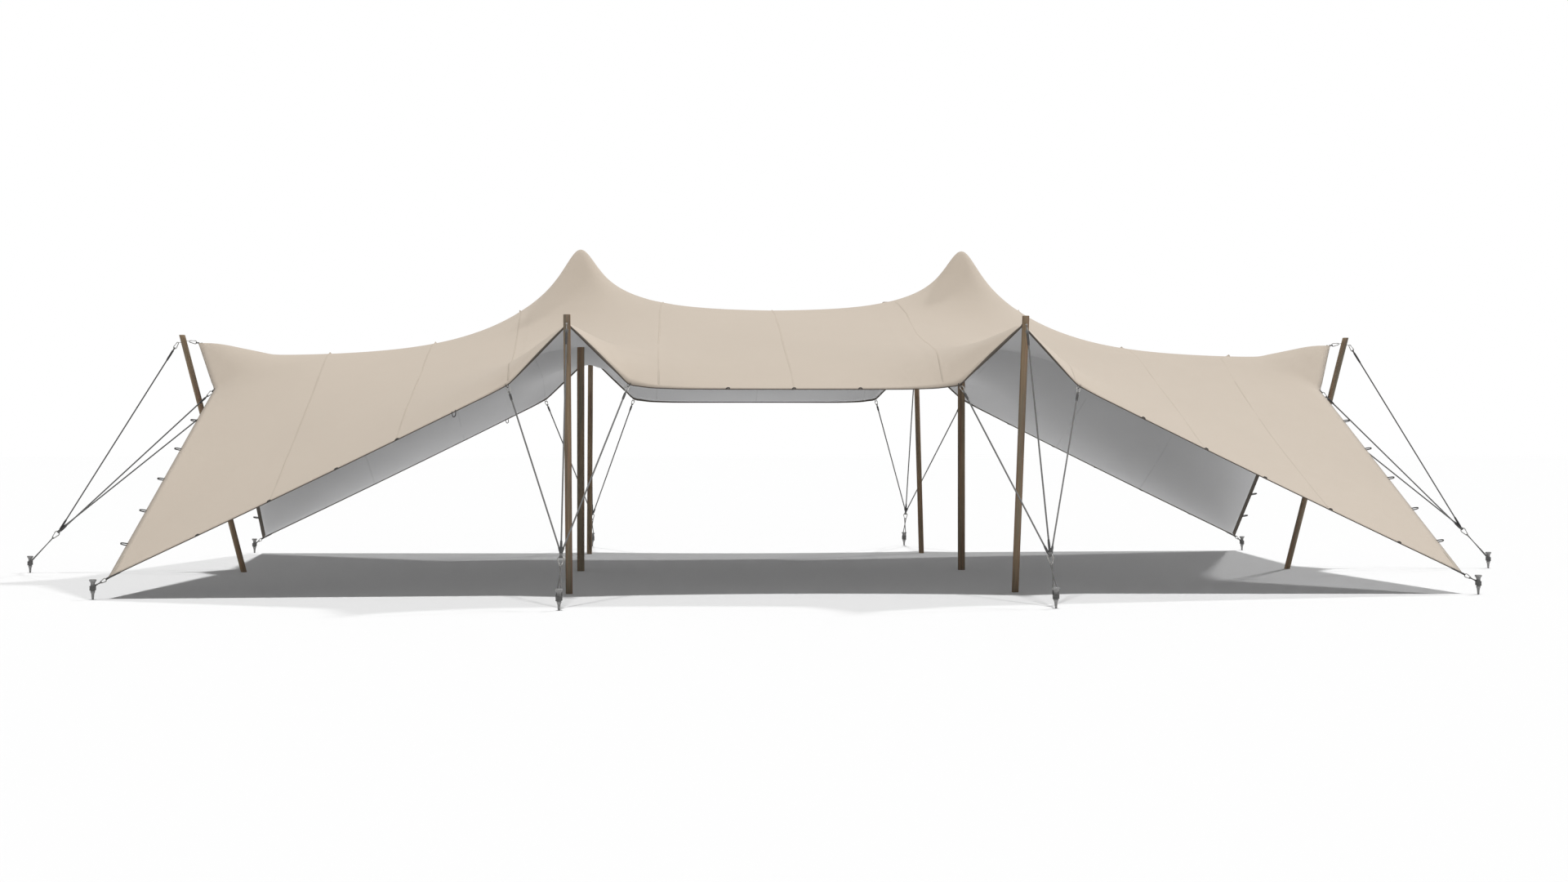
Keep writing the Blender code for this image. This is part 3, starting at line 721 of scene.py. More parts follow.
def make_hem(cloth):
    """The webbing that is folded round the cloth's edge and sewn."""
    line, inward, up, lap, inside, bulge = hem_line(cloth)
    face = CLOTH_THICKNESS / 2 + HEM_GAP
    skin = np.minimum(bulge, HEM_WEBBING_THICKNESS)
    outline = (
        (lap, face), (lap, face + skin * 0.4),
        (np.minimum(lap * 0.8, HEM_FOLD_WIDTH), face + skin * 0.8),
        (bulge * 0.4, face + bulge * 0.9), (-bulge * 0.6, face + bulge * 0.6), (-bulge * 1.1, 0.0),
        (-bulge * 0.6, -face - bulge * 0.6), (bulge * 0.4, -face - bulge * 0.9),
        (HEM_FOLD_WIDTH, -face - skin * 0.9), (inside * 0.95, -face - skin * 0.8),
        (inside, -face - skin * 0.4), (inside, -face), (HEM_SLOT_DEPTH, -face), (HEM_SLOT_DEPTH, face),
    )
    profile = np.array([[np.broadcast_to(part, lap.shape) for part in corner] for corner in outline])
    shape = Shape()
    shape.sweep(line, inward, up, np.moveaxis(profile, 2, 0), closed=True)
    return make_piece("canopy_hem", shape, ["hem_webbing"])


def make_seams(cloth):
    """The raised seams between the strips, outside in sand and inside in grey."""
    rows = split_lines(cloth.rows[1:-1], SEAM_PARTS)
    away, heights = np.transpose(SEAM_PROFILE)
    away = np.broadcast_to(away * SEAM_WIDTH, (len(rows), len(away)))
    shape = Shape()
    for seam, bends in zip(SEAMS, SEAM_BENDS):
        gather = SEAM_GATHER_BETWEEN_PEAKS if abs(seam) < PEAK_X else SEAM_GATHER
        gather = gather * np.exp(-(rows / SEAM_GATHER_REACH) ** 2)
        wander, fullness, puckers = (
            np.array([noise.noise((seam * 3.1, row * per_metre, 4.0)) for row in rows])
            for per_metre in SEAM_CHANGES_PER_METRE)
        bend = np.where(rows < 0, np.interp(-rows, SEAM_BEND_ROWS, bends),
                        bends[0] * np.exp(-(rows / SEAM_BEND_FADE) ** 2))
        line, up = cloth.at(seam + bend + SEAM_WANDER * wander, rows)
        across = np.cross(tangents(line), up)
        height = SEAM_HEIGHT * np.clip(
            np.dot(SEAM_FULLNESS, (np.ones(len(rows)), fullness, puckers)), *SEAM_FULLNESS_LIMITS)
        for side, rise, finish in ((1, height + gather, 0), (-1, height * 0.5, 1)):
            lift = CLOTH_THICKNESS / 2 - SEAM_SINK + np.outer(rise, heights)
            shape.sweep(line, across, up * side, np.stack((away, lift), axis=2), finish=finish)
    return make_piece("canopy_seams", shape, ["sand_seam", "grey_seam"])


def add_loop(shape, place, along, outward, reach, spread, thickness=LOOP_THICKNESS):
    """A strap sewn to the hem by its two ends, standing out as a loop on edge."""
    along, outward = unit(along), unit(outward)
    turns = np.linspace(0.0, math.pi, LOOP_STEPS)
    out = reach * np.sin(turns) ** LOOP_SQUARENESS
    out[[0, -1]] -= LOOP_TUCK
    side = spread / 2 * np.sign(np.cos(turns)) * abs(np.cos(turns)) ** LOOP_SQUARENESS
    line = place + out[:, None] * outward + side[:, None] * along
    add_band(shape, line, np.cross(along, outward), LOOP_BAND, thickness)


def wanted_loops():
    """Where the spare loops go, as places near the hem, and how much each one lifts."""
    lifts = {-1: LOOP_LIFT_FRONT, 1: LOOP_LIFT_BACK}
    for x, y in itertools.product(LOOPS_IN_MIDDLE, lifts):
        yield (x, y * HEM_MIDDLE[1], HEM_MIDDLE[2]), lifts[y]
    for x, y in itertools.product((-1, 1), lifts):
        for number, share in enumerate(LOOPS_ON_LONG_HEM[x]):
            hangs = x < 0 and number == 0
            yield (mirrored(between(side_ties()[1], CORNER, share), x, y),
                   LOOP_LIFT_HANGING if hangs else lifts[y])
    for x, y in itertools.product((-1, 1), lifts):
        for share in LOOPS_ON_END_HEM:
            yield mirrored(between(END_TIE, CORNER, share), x, y), LOOP_LIFT_FRONT


def make_loops(cloth):
    """The spare loops along the hem, each moved onto the nearest part of it."""
    line, inward, *_ = hem_line(cloth)
    forward = tangents(line, closed=True)
    shape = Shape()
    for place, lift in wanted_loops():
        nearest = int(np.argmin(np.linalg.norm(line - place, axis=1)))
        along = forward[nearest]
        offset = np.dot(place - line[nearest], along)
        outward = unit(inward[nearest] * (-1, -1, 0)) + (0, 0, lift)
        thickness = HANGING_LOOP_THICKNESS if lift == LOOP_LIFT_HANGING else LOOP_THICKNESS
        add_loop(shape, line[nearest] + offset * along + (0, 0, LOOP_RAISE), along, outward,
                 LOOP_REACH, LOOP_SPREAD, thickness)
    return make_piece("hem_loops", shape, ["loop_webbing"], sharp_degrees=50)


# Poles and stakes

def make_pole(name, foot, top, radius):
    """A shaved timber pole, slightly uneven, with level ends whose edges are taken off."""
    foot, rise = np.array(foot, float), np.subtract(top, foot)
    heights = np.linspace(POLE_CHAMFER, rise[2] - POLE_CHAMFER, POLE_RINGS)
    heights = np.concatenate(([0.0], heights, [rise[2]]))
    circle = circles([1.0], POLE_SIDES)[0]
    seed = 7.0 * foot[0] + 3.0 * foot[1]
    waves = np.array([[noise.noise((x * 0.9 + seed, y * 0.9, height * 1.3)) for x, y in circle]
                      for height in heights])
    reach = radius - POLE_UNEVENNESS * (1.0 - waves)
    reach[[0, -1]] -= POLE_CHAMFER * 0.8
    shape = Shape()
    shape.sweep(foot + np.outer(heights / rise[2], rise), (1, 0, 0), (0, 1, 0),
                reach[..., None] * circle, distances=heights + seed)
    shape.finishes[-2:] = [1, 1]
    make_piece(f"timber_{name}", shape, ["pole_timber", "end_grain"],
               [name])


def make_stake(name, x, y):
    shape = Shape()
    add_turned(shape, (x, y, 0.0), (0, 0, 1), STAKE_PROFILE, STAKE_SIDES)
    make_piece(f"steel_{name}", shape, ["stake_steel"], [name],
               sharp_degrees=35)


# Ropes and hooks

def add_hook(shape, wide_end, narrow_end, across, wide=HOOK_WIDE, narrow=HOOK_NARROW, bar=HOOK_BAR):
    """A steel snap hook: a bar bent like a pear, and a thinner gate with its pin and nose."""
    length = np.linalg.norm(narrow_end - wide_end)
    axis = (narrow_end - wide_end) / length
    across = square_to(across, axis)
    lean = math.asin((wide - narrow) / (length - wide - narrow))
    outline = np.vstack((
        arc(wide_end + wide * axis, axis, across, wide,
            np.linspace(math.pi / 2 - lean, 3 * math.pi / 2 + lean, HOOK_STEPS[0])),
        arc(narrow_end - narrow * axis, axis, across, narrow,
            np.linspace(lean - math.pi / 2, math.pi / 2 - lean, HOOK_STEPS[1]))))
    add_tube(shape, outline, bar, BAR_SIDES)
    nose, hinge = outline[0], outline[-1]
    gap = np.linalg.norm(hinge - nose)
    gate = (hinge - nose) / gap
    profile = [(radius * bar, along * bar) for radius, along in GATE_NOSE]
    profile += [(radius * bar, gap - along * bar) for radius, along in GATE_HINGE]
    add_turned(shape, nose, gate, profile, BAR_SIDES)
    facing = np.cross(axis, across)
    pin = np.array(GATE_PIN) * bar
    middle = hinge - gate * bar * GATE_PIN_PLACE
    add_turned(shape, middle - facing * pin[-1, 1] / 2, facing, pin, PIN_SIDES)


def add_eye(shape, place, toward, side):
    """A screw eye in a pole: a ring on a short shank. Returns the middle of the hook bar in it."""
    toward = unit(toward)
    side = square_to(side, toward)
    middle = place + toward * (EYE_RADIUS + EYE_BAR)
    add_tube(shape, arc(middle, toward, side, EYE_RADIUS, full_turn(EYE_STEPS)), EYE_BAR, THIN_SIDES,
             closed=True)
    add_tube(shape, [place + toward * end for end in EYE_SHANK], EYE_BAR, THIN_SIDES)
    return middle + toward * (EYE_RADIUS + EYE_BAR + HOOK_BAR)


def add_rope_eye(shape, bar_place, toward, facing):
    """The rope's own eye round a hook's bar, which leads into its sleeve. Returns its end."""
    reach = HOOK_BAR + ROPE_RADIUS * 0.9
    facing = square_to(facing, toward)
    turns = np.radians(np.linspace(*ROPE_EYE_DEGREES, BEND_STEPS))
    bend = arc(bar_place, -toward, -facing, reach, turns)
    end = bar_place + toward * (reach + ROPE_EYE_NECK)
    line = [end - facing * ROPE_EYE_GAP, *bend, end + facing * ROPE_EYE_GAP]
    add_tube(shape, line, ROPE_RADIUS * ROPE_EYE_THINNING, THIN_SIDES)
    return end


def sleeve_profile(length):
    """A whipped sleeve, from the eye to the rope, as (radius, distance) points."""
    steps = np.linspace(0.0, 1.0, SLEEVE_RIBS * 2 + 1)
    narrowing = np.clip((steps - SLEEVE_TAPER_START) / (1.0 - SLEEVE_TAPER_START), 0, 1)
    radii = SLEEVE_RADIUS - (SLEEVE_RADIUS - ROPE_RADIUS * 1.25) * narrowing
    radii *= 1.0 - SLEEVE_NOSE * np.clip(1.0 - steps / SLEEVE_NOSE_END, 0, 1)
    radii[1::2] += SLEEVE_RIB_HEIGHT
    return [(ROPE_RADIUS * 0.7, 0.0), *zip(radii, steps * length), (ROPE_RADIUS * 0.9, length)]


def add_rope(shape, start_bar, end_bar, start_facing, end_facing, sleeve_length):
    """One guy rope between two hooks: an eye and a whipped sleeve at each end, and the rope."""
    down = unit(end_bar - start_bar)
    first = add_rope_eye(shape, start_bar, down, start_facing)
    last = add_rope_eye(shape, end_bar, -down, end_facing)
    for place, toward in ((first, down), (last, -down)):
        add_turned(shape, place - toward * SLEEVE_OVER_EYE, toward, sleeve_profile(sleeve_length),
                   BAR_SIDES, finish=1)
    inside = down * (sleeve_length - SLEEVE_OVER_ROPE)
    add_tube(shape, np.linspace(first + inside, last - inside, 25), ROPE_RADIUS, ROPE_SIDES)


def add_sling(shape, hook_end, x, y):
    """A doubled rope from a hook's narrow end to a stake's neck, wound round it."""
    top = np.array((x, y, WINDING_LOW_Z + WINDING_TURNS * SLING_RADIUS * 2.1))
    toward = unit((*(hook_end - top)[:2], 0.0))
    across = np.cross((0, 0, 1), toward)
    axis = unit(top - hook_end)
    reach = STAKE_NECK_RADIUS + SLING_RADIUS
    bend = arc(hook_end, -axis, -across, HOOK_BAR + SLING_RADIUS * 0.9,
               np.radians(np.linspace(*SLING_BEND_DEGREES)))
    wrap = arc(top - (0, 0, SLING_RADIUS), toward, across, reach,
               np.radians(np.linspace(*SLING_WRAP_DEGREES)))
    add_tube(shape, [wrap[0], *bend[::-1], *wrap[::-1]], SLING_RADIUS, THIN_SIDES)
    turns = np.linspace(0.0, 2 * np.pi * WINDING_TURNS, WINDING_STEPS * WINDING_TURNS + 1)
    winding = arc((x, y, WINDING_LOW_Z + SLING_RADIUS), across, -toward, reach, turns)
    winding[:, 2] += WINDING_PITCH * turns / (2 * np.pi)
    add_tube(shape, winding, SLING_RADIUS, THIN_SIDES)


def pole_face(foot, top, z, outward):
    """The point on a leaning pole's face at a height, on the given side."""
    return foot + np.subtract(top, foot) * z / top[2] + outward * EDGE_POLE_RADIUS


def add_tie_loop(shape, tie, along, pull, reach):
    """A loop where the hem is held. Returns the middle of the hook bar in it."""
    add_loop(shape, tie - pull * TIE_LOOP_TUCK, along, pull, reach, TIE_LOOP_SPREAD)
    return tie + pull * (reach - HOOK_BAR - LOOP_THICKNESS)


def make_station(row, side, outward, foot, top, head, ties, joint, stake_place):
    """An edge pole with its stake, its three guys, their hooks, and the hook that holds the hem."""
    outward, head, joint = (np.array(place, float) for place in (outward, head, joint))
    along = np.cross((0, 0, 1), outward)
    at_end = row == "end"
    make_pole(f"{row}_pole_{side}", foot, top, EDGE_POLE_RADIUS)
    make_stake(f"stake_{row}_{side}", *stake_place)
    ropes, hooks, loops = Shape(), Shape(), Shape()
    strap_axis = unit((*stake_place, SLING_Z) - joint)
    joint_across = np.cross(strap_axis, along) if at_end else along
    narrow_end = joint + strap_axis * JOINT_HOOK_LENGTH
    add_hook(hooks, joint, narrow_end, joint_across, JOINT_HOOK_WIDE, JOINT_HOOK_NARROW,
             JOINT_HOOK_BAR)
    add_sling(ropes, narrow_end, *stake_place)
    eye = add_eye(hooks, pole_face(foot, top, GUY_POLE_Z, outward), outward, along)
    starts = [(eye, False)]
    for tie in ties:
        starts.append((add_tie_loop(loops, tie, END_HEM_RUN if at_end else along,
                                    unit(joint - tie), TIE_LOOP_REACH), True))
    for number, (start, from_hem) in enumerate(starts):
        bar = joint + joint_across * (0.0, -JOINT_ROPE_SPACING, JOINT_ROPE_SPACING)[number]
        pull = unit(bar - start)
        flat = np.cross(pull, outward if from_hem and not at_end else along)
        end = start + pull * HOOK_LENGTH
        add_hook(hooks, *((start, end) if from_hem else (end, start)), flat)
        add_rope(ropes, end, bar, np.cross(pull, flat), np.cross(strap_axis, joint_across),
                 TIE_SLEEVE_LENGTH if from_hem else SLEEVE_LENGTH)
    inner_face = pole_face(foot, top, head[2] + HEAD_EYE_RAISE, -outward)
    head_eye = add_eye(hooks, inner_face, head - inner_face, along)
    hem_end = head_eye + unit(head - inner_face) * HOOK_LENGTH
    add_hook(hooks, hem_end, head_eye, (0, 0, 1))
    add_loop(loops, head, along, outward,
             np.linalg.norm(head - hem_end) + HOOK_BAR + LOOP_THICKNESS, TIE_LOOP_SPREAD)
    make_piece(f"ropes_{row}_{side}", ropes, ["guy_rope", "rope_sleeve"],
               [f"guys_{row}_{side}"])
    make_piece(f"hooks_{row}_{side}", hooks, ["hook_steel"],
               [f"head_tie_{row}_{side}", f"guys_{row}_{side}"])
    make_piece(f"tie_loops_{row}_{side}", loops, ["loop_webbing"],
               sharp_degrees=50)


def add_zigzag(shape, cloth, along_side, x_sign, y_sign):
    """Light zigzag stitching just inside the hem, on one side of a corner."""
    steps = np.arange(int(ZIGZAG_LENGTH / ZIGZAG_PITCH * 2) + 1)
    away = ZIGZAG_START + steps * ZIGZAG_PITCH / 2
    inset = np.where(steps % 2, *ZIGZAG_INSETS)
    column, row = (away, inset) if along_side else (inset, away)
    line, up = cloth.at(x_sign * (cloth.columns[-1] - column), y_sign * (cloth.rows[-1] - row))
    add_tube(shape, line + up * (CLOTH_THICKNESS + ZIGZAG_THREAD) / 2, ZIGZAG_THREAD, THREAD_SIDES,
             finish=1)


def add_corner_strap(shape, cloth, x_sign, y_sign):
    """The strap that is sewn over the long hem's last part and leads into the corner's loop."""
    columns = cloth.columns[-1] - np.linspace(CORNER_STRAP_LENGTH, 0.0, 13)
    line, up = cloth.at(x_sign * columns, np.full(len(columns), y_sign * cloth.rows[-1]))
    up = np.broadcast_to(up.mean(axis=0), line.shape)
    shares, thick = np.transpose(CORNER_STRAP_THICKNESS)
    thick = np.interp(np.linspace(0.0, 1.0, len(line)), shares, thick)
    shape.sweep(line, unit(np.cross(tangents(line), up)), up,
                thick[:, None, None] * np.array(CORNER_STRAP_PROFILE))


def make_corner(row, side, x_sign, y_sign, cloth):
    """A corner's webbing loop, its hook and the short sling to its stake."""
    x, y = mirrored(CORNER_STAKE, x_sign, y_sign)
    corner = np.array(mirrored(CORNER, x_sign, y_sign))
    make_stake(f"stake_{row}_{side}_corner", x, y)
    pull = unit((x, y, SLING_Z) - corner)
    across = unit(np.cross(pull, (0, 0, 1)))
    ropes, hooks, loops = Shape(), Shape(), Shape()
    start = add_tie_loop(loops, corner, across, pull, CORNER_LOOP_REACH)
    add_corner_strap(loops, cloth, x_sign, y_sign)
    add_zigzag(loops, cloth, True, x_sign, y_sign)
    add_zigzag(loops, cloth, False, x_sign, y_sign)
    end = start + pull * CORNER_HOOK_LENGTH
    add_hook(hooks, start, end, np.cross(pull, across))
    add_sling(ropes, end, x, y)
    node = f"corner_tie_{row}_{side}"
    make_piece(f"sling_{row}_{side}_corner", ropes, ["guy_rope"], [node])
    make_piece(f"hook_{row}_{side}_corner", hooks, ["hook_steel"], [node])
    make_piece(f"tie_loop_{row}_{side}_corner", loops,
               ["loop_webbing", "light_thread"], sharp_degrees=50)


# Materials. A function without a tree adds its node beside the socket or shader that it is given.

def feed(node, inputs):
    """Gives a node's inputs their sockets or plain values."""
    for name, value in inputs.items():
        if isinstance(value, bpy.types.NodeSocket):
            node.id_data.links.new(value, node.inputs[name])
        else:
            node.inputs[name].default_value = value
    return node


def add_node(tree, kind, inputs=None, **settings):
    node = tree.nodes.new(kind)
    for name, value in settings.items():
        setattr(node, name, value)
    return feed(node, inputs or {})


def shaded(tone, times):
    """The same tone made lighter or darker."""
    return tuple(part * times for part in tone)


def mixed(share, first, second):
    """A mix by a share between 0 and 1 of two colours, each a socket or a tone."""
    first, second = ((*part, 1.0) if isinstance(part, tuple) else part for part in (first, second))
    return add_node(share.id_data, "ShaderNodeMix", {0: share, 6: first, 7: second},
                    data_type="RGBA").outputs[2]


def spread(value, low, high, to_low, to_high):
    """A value read between low and high, and moved to the range between to_low and to_high."""
    return add_node(value.id_data, "ShaderNodeMapRange", {
        "Value": value, "From Min": low, "From Max": high, "To Min": to_low,
        "To Max": to_high}).outputs["Result"]


def maths(operation, first, second=0.0):
    return add_node(first.id_data, "ShaderNodeMath", {0: first, 1: second},
                    operation=operation).outputs[0]


def product(first, second):
    return maths("MULTIPLY", first, second)


def magnitude(value):
    return maths("ABSOLUTE", value)


def cloudy(place, scale, detail=3.0, roughness=0.55):
    """Soft noise at a scale, per metre."""
    return add_node(place.id_data, "ShaderNodeTexNoise", {
        "Vector": place, "Scale": scale, "Detail": detail, "Roughness": roughness}).outputs["Fac"]


def scaled(place, scale):
    return add_node(place.id_data, "ShaderNodeVectorMath", {0: place, 1: scale},
                    operation="MULTIPLY").outputs["Vector"]


def parts_of(place):
    return add_node(place.id_data, "ShaderNodeSeparateXYZ", {0: place}).outputs


def bump(shader, height, depth, strength=1.0):
    return add_node(shader.id_data, "ShaderNodeBump", {
        "Height": height, "Distance": depth, "Strength": strength}).outputs["Normal"]


def new_group(name, inputs, outputs):
    """A shader node group with a place and named values as inputs, and named values as outputs."""
    tree = bpy.data.node_groups.new(name, "ShaderNodeTree")
    tree.interface.new_socket("Place", in_out="INPUT", socket_type="NodeSocketVector")
    for label, default in inputs.items():
        socket = tree.interface.new_socket(label, in_out="INPUT", socket_type="NodeSocketFloat")
        socket.default_value = default
    for label in outputs:
        tree.interface.new_socket(label, in_out="OUTPUT", socket_type="NodeSocketFloat")
    return tree, tree.nodes.new("NodeGroupInput").outputs, tree.nodes.new("NodeGroupOutput")


def weave_group():
    """Two sets of threads that cross: their height, and a mask of painted shade in the gaps between
    them.
    """
    tree, given, result = new_group("Weave", {"Threads per metre": 900.0}, ("Height", "Gap shade"))
    turns = product(given["Threads per metre"], 2 * math.pi)
    x, y, z = parts_of(given["Place"])
    warp = maths("SINE", product(x, turns))
    fill = maths("SINE", product(maths("ADD", y, z), turns))
    height = product(magnitude(warp), magnitude(fill))
    # Painted shade: the mask is one where the threads are low, in the gaps between them
    feed(result, {"Height": height, "Gap shade": spread(height, 0.0, 0.35, 1.0, 0.0)})
    return tree


def weathering_group():
    """Soft mottling from handling and rain, and a finer dusting over it."""
    tree, given, result = new_group("Weathering", {"Scale": 1.0, "Contrast": 1.0},
                                    ("Mottling", "Dust"))
    wide = cloudy(given["Place"], given["Scale"], 4.0)
    fine = cloudy(given["Place"], product(given["Scale"], 14.0), 5.0, 0.7)
    mottling = maths("ADD", product(maths("SUBTRACT", wide, 0.5), given["Contrast"]), 0.5)
    feed(result, {"Mottling": mottling, "Dust": spread(fine, 0.45, 0.75, 0.0, 1.0)})
    return tree


def edge_wear_group():
    """A mask of the edges that get rubbed, broken up by noise."""
    tree, given, result = new_group("Edge wear", {"Scale": 60.0, "Amount": 1.0}, ("Worn",))
    shape = add_node(tree, "ShaderNodeNewGeometry").outputs
    edges = spread(shape["Pointiness"], 0.50, 0.58, 0.0, 1.0)
    breaks = spread(cloudy(given["Place"], given["Scale"], 4.0), 0.38, 0.62, 0.0, 1.0)
    feed(result, {"Worn": product(product(edges, breaks), given["Amount"])})
    return tree


def stitching_group():
    """A row of stitches on both sides of a strap's middle: a mask of its thread."""
    tree, given, result = new_group("Stitching", {"From middle": 0.008, "Pitch": 0.005}, ("Thread",))
    x, _, z = parts_of(given["Place"])
    away = maths("SUBTRACT", magnitude(x), given["From middle"])
    row = spread(magnitude(away), 0.0005, 0.0010, 1.0, 0.0)
    step = maths("FRACT", maths("DIVIDE", z, given["Pitch"]))
    dash = spread(magnitude(maths("SUBTRACT", step, 0.5)), 0.32, 0.40, 1.0, 0.0)
    feed(result, {"Thread": product(row, dash)})
    return tree


def new_material(name):
    material = bpy.data.materials.new(name)
    material.use_nodes = True
    return material, material.node_tree.nodes["Principled BSDF"]


def attribute(shader, name, output="Vector"):
    return add_node(shader.id_data, "ShaderNodeAttribute", attribute_name=name).outputs[output]


def placed_group(group, inputs):
    """A shared effect in a material, with the material's own values."""
    return add_node(inputs["Place"].id_data, "ShaderNodeGroup", inputs, node_tree=group).outputs


def woven_material(name, groups, tones, threads, rough, mottle_scale, depth=0.0004, sheen=0.0,
                   stitch_rows=(), thread=None, painted_light_on_steep=0.0):
    """Cloth or webbing: two tones, weathered, with a weave whose gaps are darker, and any stitches.

    Where the cloth is steep, and most by the side poles' heads, painted light makes it lighter.
    """
    material, shader = new_material(name)
    place = attribute(shader, "grain_place")
    light, dark = tones
    weave = placed_group(groups["weave"], {"Place": place, "Threads per metre": threads})
    age = placed_group(groups["weathering"], {"Place": place, "Scale": mottle_scale,
                                              "Contrast": 1.6})
    tone = mixed(age["Mottling"], dark, light)
    # Painted shade: the gaps between the threads are made darker
    tone = mixed(product(weave["Gap shade"], 0.12), tone, shaded(light, 0.5))
    # Painted light: the tone is made lighter where the cloth is steep
    if painted_light_on_steep:
        steep_painted_light = attribute(shader, "steep_painted_light", "Fac")
        tone = mixed(steep_painted_light, tone, shaded(light, 1.0 + painted_light_on_steep))
    relief = weave["Height"]
    for from_middle in stitch_rows:
        stitches = placed_group(groups["stitching"], {"Place": place, "From middle": from_middle})
        tone = mixed(stitches["Thread"], tone, thread)
        relief = maths("ADD", relief, stitches["Thread"])
    feed(shader, {
        "Base Color": tone, "Roughness": spread(age["Dust"], 0.0, 1.0, rough - 0.06, rough + 0.06),
        "Specular IOR Level": 0.25, "Sheen Weight": sheen, "Normal": bump(shader, relief, depth)})
    return material


def timber_material(name, groups):
    """Weathered timber: long streaks of brown, grey and reddish wood, with fine checks."""
    material, shader = new_material(name)
    grain = attribute(shader, "grain_place")
    broad = cloudy(scaled(grain, (22.0, 22.0, 0.8)), 1.0, 4.0, 0.6)
    fine = cloudy(scaled(grain, (170.0, 170.0, 3.5)), 1.0, 6.0, 0.65)
    patches = cloudy(scaled(grain, (9.0, 9.0, 1.1)), 1.0, 3.0, 0.5)
    ruddy = cloudy(scaled(grain, (26.0, 26.0, 0.5)), 1.7, 2.0, 0.5)
    cracks = cloudy(scaled(grain, (230.0, 230.0, 2.2)), 1.0, 3.0, 0.5)
    checks = spread(cracks, 0.66, 0.74, 0.0, 1.0)
    worn = placed_group(groups["edge wear"], {"Place": grain, "Scale": 90.0, "Amount": 0.6})
    wood = (0.110, 0.077, 0.046)
    for share, tone in (
            (spread(broad, 0.38, 0.62, 0.0, 1.0), (0.286, 0.196, 0.107)),
            (spread(patches, 0.50, 0.62, 0.0, 0.7), (0.150, 0.138, 0.098)),
            (spread(ruddy, 0.54, 0.62, 0.0, 0.6), (0.255, 0.120, 0.066)),
            (spread(fine, 0.42, 0.72, 0.0, 0.75), (0.300, 0.225, 0.155)),
            (checks, (0.032, 0.022, 0.015)),
            (worn["Worn"], (0.30, 0.23, 0.16))):
        wood = mixed(share, wood, tone)
    relief = maths("SUBTRACT", fine, product(checks, 0.8))
    feed(shader, {"Base Color": wood, "Roughness": spread(fine, 0.3, 0.7, 0.62, 0.82),
                  "Specular IOR Level": 0.6, "Normal": bump(shader, relief, 0.0012)})
    return material


def end_grain_material(name):
    """The cut ends of the poles, with growth rings."""
    material, shader = new_material(name)
    grain = attribute(shader, "grain_place")
    away = add_node(grain.id_data, "ShaderNodeVectorMath", {0: scaled(grain, (1.0, 1.0, 0.0))},
                    operation="LENGTH").outputs["Value"]
    wobble = product(cloudy(grain, 40.0), 0.006)
    rings = maths("SINE", product(maths("ADD", away, wobble), 1500.0))
    tone = mixed(spread(rings, -1.0, 1.0, 0.0, 1.0), (0.12, 0.085, 0.055), (0.20, 0.145, 0.095))
    feed(shader, {"Base Color": tone, "Roughness": spread(rings, -1.0, 1.0, 0.7, 0.85),
                  "Normal": bump(shader, rings, 0.0004)})
    return material


def steel_material(name, groups, base, rough, rust, metallic):
    """Galvanised or worn steel: mottled, rubbed bright at the edges, with a little staining."""
    material, shader = new_material(name)
    place = add_node(shader.id_data, "ShaderNodeTexCoord").outputs["Object"]
    age = placed_group(groups["weathering"], {"Place": place, "Scale": 22.0, "Contrast": 1.5})
    worn = placed_group(groups["edge wear"], {"Place": place, "Scale": 70.0, "Amount": 0.8})
    tone = mixed(age["Mottling"], shaded(base, 0.72), base)
    tone = mixed(product(age["Dust"], rust), tone, (0.17, 0.11, 0.07))
    tone = mixed(worn["Worn"], tone, shaded(base, 2.0))
    feed(shader, {"Base Color": tone, "Roughness": spread(age["Dust"], 0.0, 1.0, rough, rough + 0.2),
                  "Metallic": metallic, "Normal": bump(shader, age["Dust"], 0.0003, 0.5)})
    return material


def rope_material(name, groups, base, pitch, strands, depth):
    """Braided rope or whipping: strands that cross as they run round the line."""
    material, shader = new_material(name)
    grain = attribute(shader, "grain_place")
    x, y, z = parts_of(grain)
    turn = product(maths("ARCTAN2", y, x), strands)
    along = product(z, 2 * math.pi / pitch)
    right, left = (magnitude(maths("SINE", maths(way, along, turn))) for way in ("ADD", "SUBTRACT"))
    height = product(right, left)
    age = placed_group(groups["weathering"], {"Place": grain, "Scale": 9.0, "Contrast": 1.4})
    tone = mixed(age["Mottling"], shaded(base, 0.75), shaded(base, 1.2))
    # Painted shade: the grooves between the strands are made darker
    tone = mixed(spread(height, 0.0, 0.4, 0.5, 0.0), tone, shaded(base, 0.4))
    tone = mixed(product(age["Dust"], 0.2), tone, (0.24, 0.22, 0.19))
    feed(shader, {"Base Color": tone, "Roughness": spread(height, 0.0, 1.0, 0.85, 0.65),
                  "Specular IOR Level": 0.3, "Normal": bump(shader, height, depth)})
    return material


def all_materials():
    """Every finish of the tent, by its name."""
    groups = {"weave": weave_group(), "weathering": weathering_group(),
              "edge wear": edge_wear_group(), "stitching": stitching_group()}
    materials = {"pole_timber": timber_material("pole_timber", groups),
                 "end_grain": end_grain_material("end_grain")}
    for make, finishes in ((woven_material, WOVEN_FINISHES), (steel_material, STEEL_FINISHES),
                           (rope_material, ROPE_FINISHES)):
        for name, finish in finishes.items():
            materials[name] = make(name, groups, **finish)
    return materials


# Camera, lights and floor

def make_stage():
    floor = bpy.data.meshes.new("floor")
    half = FLOOR_SIZE / 2
    floor.from_pydata([(-half, -half, 0), (half, -half, 0), (half, half, 0), (-half, half, 0)], [],
                      [(0, 1, 2, 3)])
    material, shader = new_material("studio_floor")
    feed(shader, {"Base Color": FLOOR_TONE, "Roughness": 0.9, "Specular IOR Level": 0.0})
    floor.materials.append(material)
    ground = bpy.data.objects.new("studio_floor", floor)
    bpy.context.scene.collection.objects.link(ground)


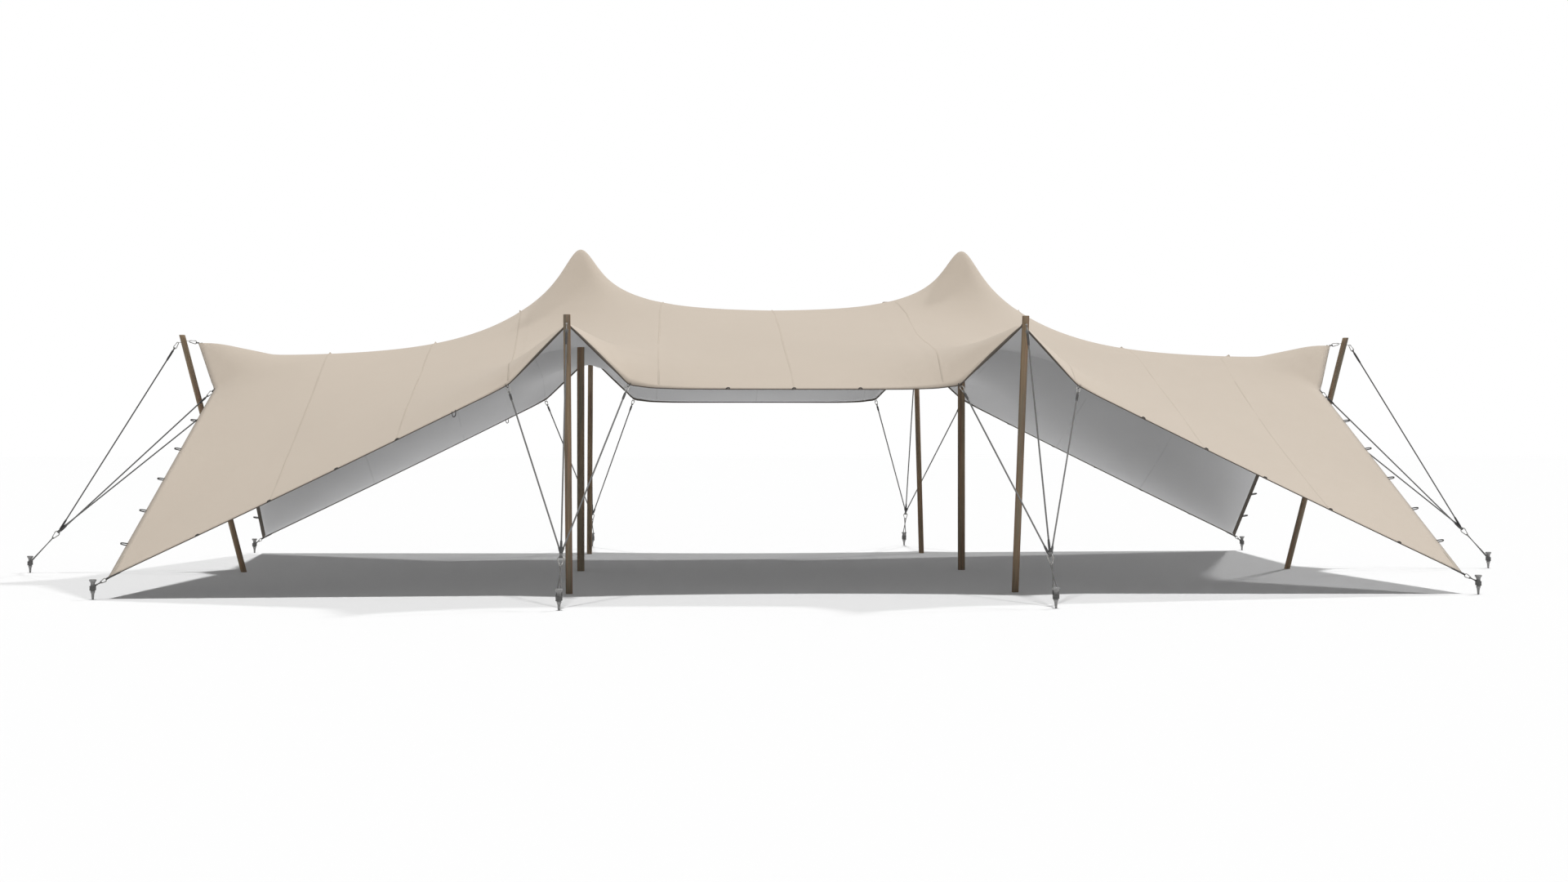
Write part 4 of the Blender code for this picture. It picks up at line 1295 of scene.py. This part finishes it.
def make_sun(name, strength, travel, softness_degrees):
    """A distant light that shines along a direction."""
    lamp = bpy.data.lights.new(name, "SUN")
    lamp.energy = strength
    lamp.angle = math.radians(softness_degrees)
    light = bpy.data.objects.new(name, lamp)
    light.rotation_euler = Vector(travel).to_track_quat("-Z", "Y").to_euler()
    bpy.context.scene.collection.objects.link(light)


def make_world():
    """An even white surround, brighter where the camera sees it than as a light."""
    world = bpy.data.worlds.new("white surround")
    world.use_nodes = True
    shine = world.node_tree.nodes["Background"]
    seen = add_node(world.node_tree, "ShaderNodeLightPath").outputs["Is Camera Ray"]
    feed(shine, {"Color": (1.0, 1.0, 1.0, 1.0),
                 "Strength": spread(seen, 0.0, 1.0, SURROUND_STRENGTH, 1.0)})
    bpy.context.scene.world = world


def make_camera():
    lens = bpy.data.cameras.new("photograph view")
    lens.lens = CAMERA_LENS
    lens.shift_y = CAMERA_SHIFT_Y
    lens.clip_end = FLOOR_SIZE * 2
    camera = bpy.data.objects.new("photograph view", lens)
    camera.location = CAMERA_PLACE
    camera.rotation_euler = (math.pi / 2, 0.0, CAMERA_TURN)
    bpy.context.scene.collection.objects.link(camera)
    bpy.context.scene.camera = camera


def make_tent():
    cloth = Cloth()
    canopy = make_canopy(cloth)
    hem = make_hem(cloth)
    seams = make_seams(cloth)
    loops = make_loops(cloth)
    for side, x_sign in SIDES:
        node, x = f"centre_pole_{side}", x_sign * PEAK_X
        make_pole(node, (x, 0, 0), (x, 0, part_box(node)[1].z), CENTRE_POLE_RADIUS)
    for row, y_sign in ROWS:
        for side, x_sign in SIDES:
            x = x_sign * PEAK_X
            make_station(
                row, side, (0, y_sign, 0), (x, y_sign * SIDE_POLE_FOOT_Y, 0),
                (x, y_sign * SIDE_POLE_TOP_Y, EDGE_POLE_HEIGHT), mirrored(SIDE_HEAD, x_sign, y_sign),
                [mirrored(tie, x_sign, y_sign) for tie in side_ties()],
                mirrored(SIDE_JOINT, x_sign, y_sign), mirrored(SIDE_STAKE, x_sign, y_sign))
            make_corner(row, side, x_sign, y_sign, cloth)
    for side, x_sign in SIDES:
        make_station(
            "end", side, (x_sign, 0, 0), (x_sign * END_POLE_FOOT_X, 0, 0),
            (x_sign * END_POLE_TOP_X, 0, EDGE_POLE_HEIGHT), mirrored(END_HEAD, x_sign, 1),
            [mirrored(END_TIE, x_sign, y_sign) for y_sign in (-1, 1)],
            mirrored(END_JOINT, x_sign, 1), (x_sign * END_STAKE_X, 0.0))


make_camera()
make_world()
make_stage()
for light in LIGHTS:
    make_sun(*light)
bpy.context.scene.view_settings.view_transform = "Standard"
MATERIALS = all_materials()
make_tent()
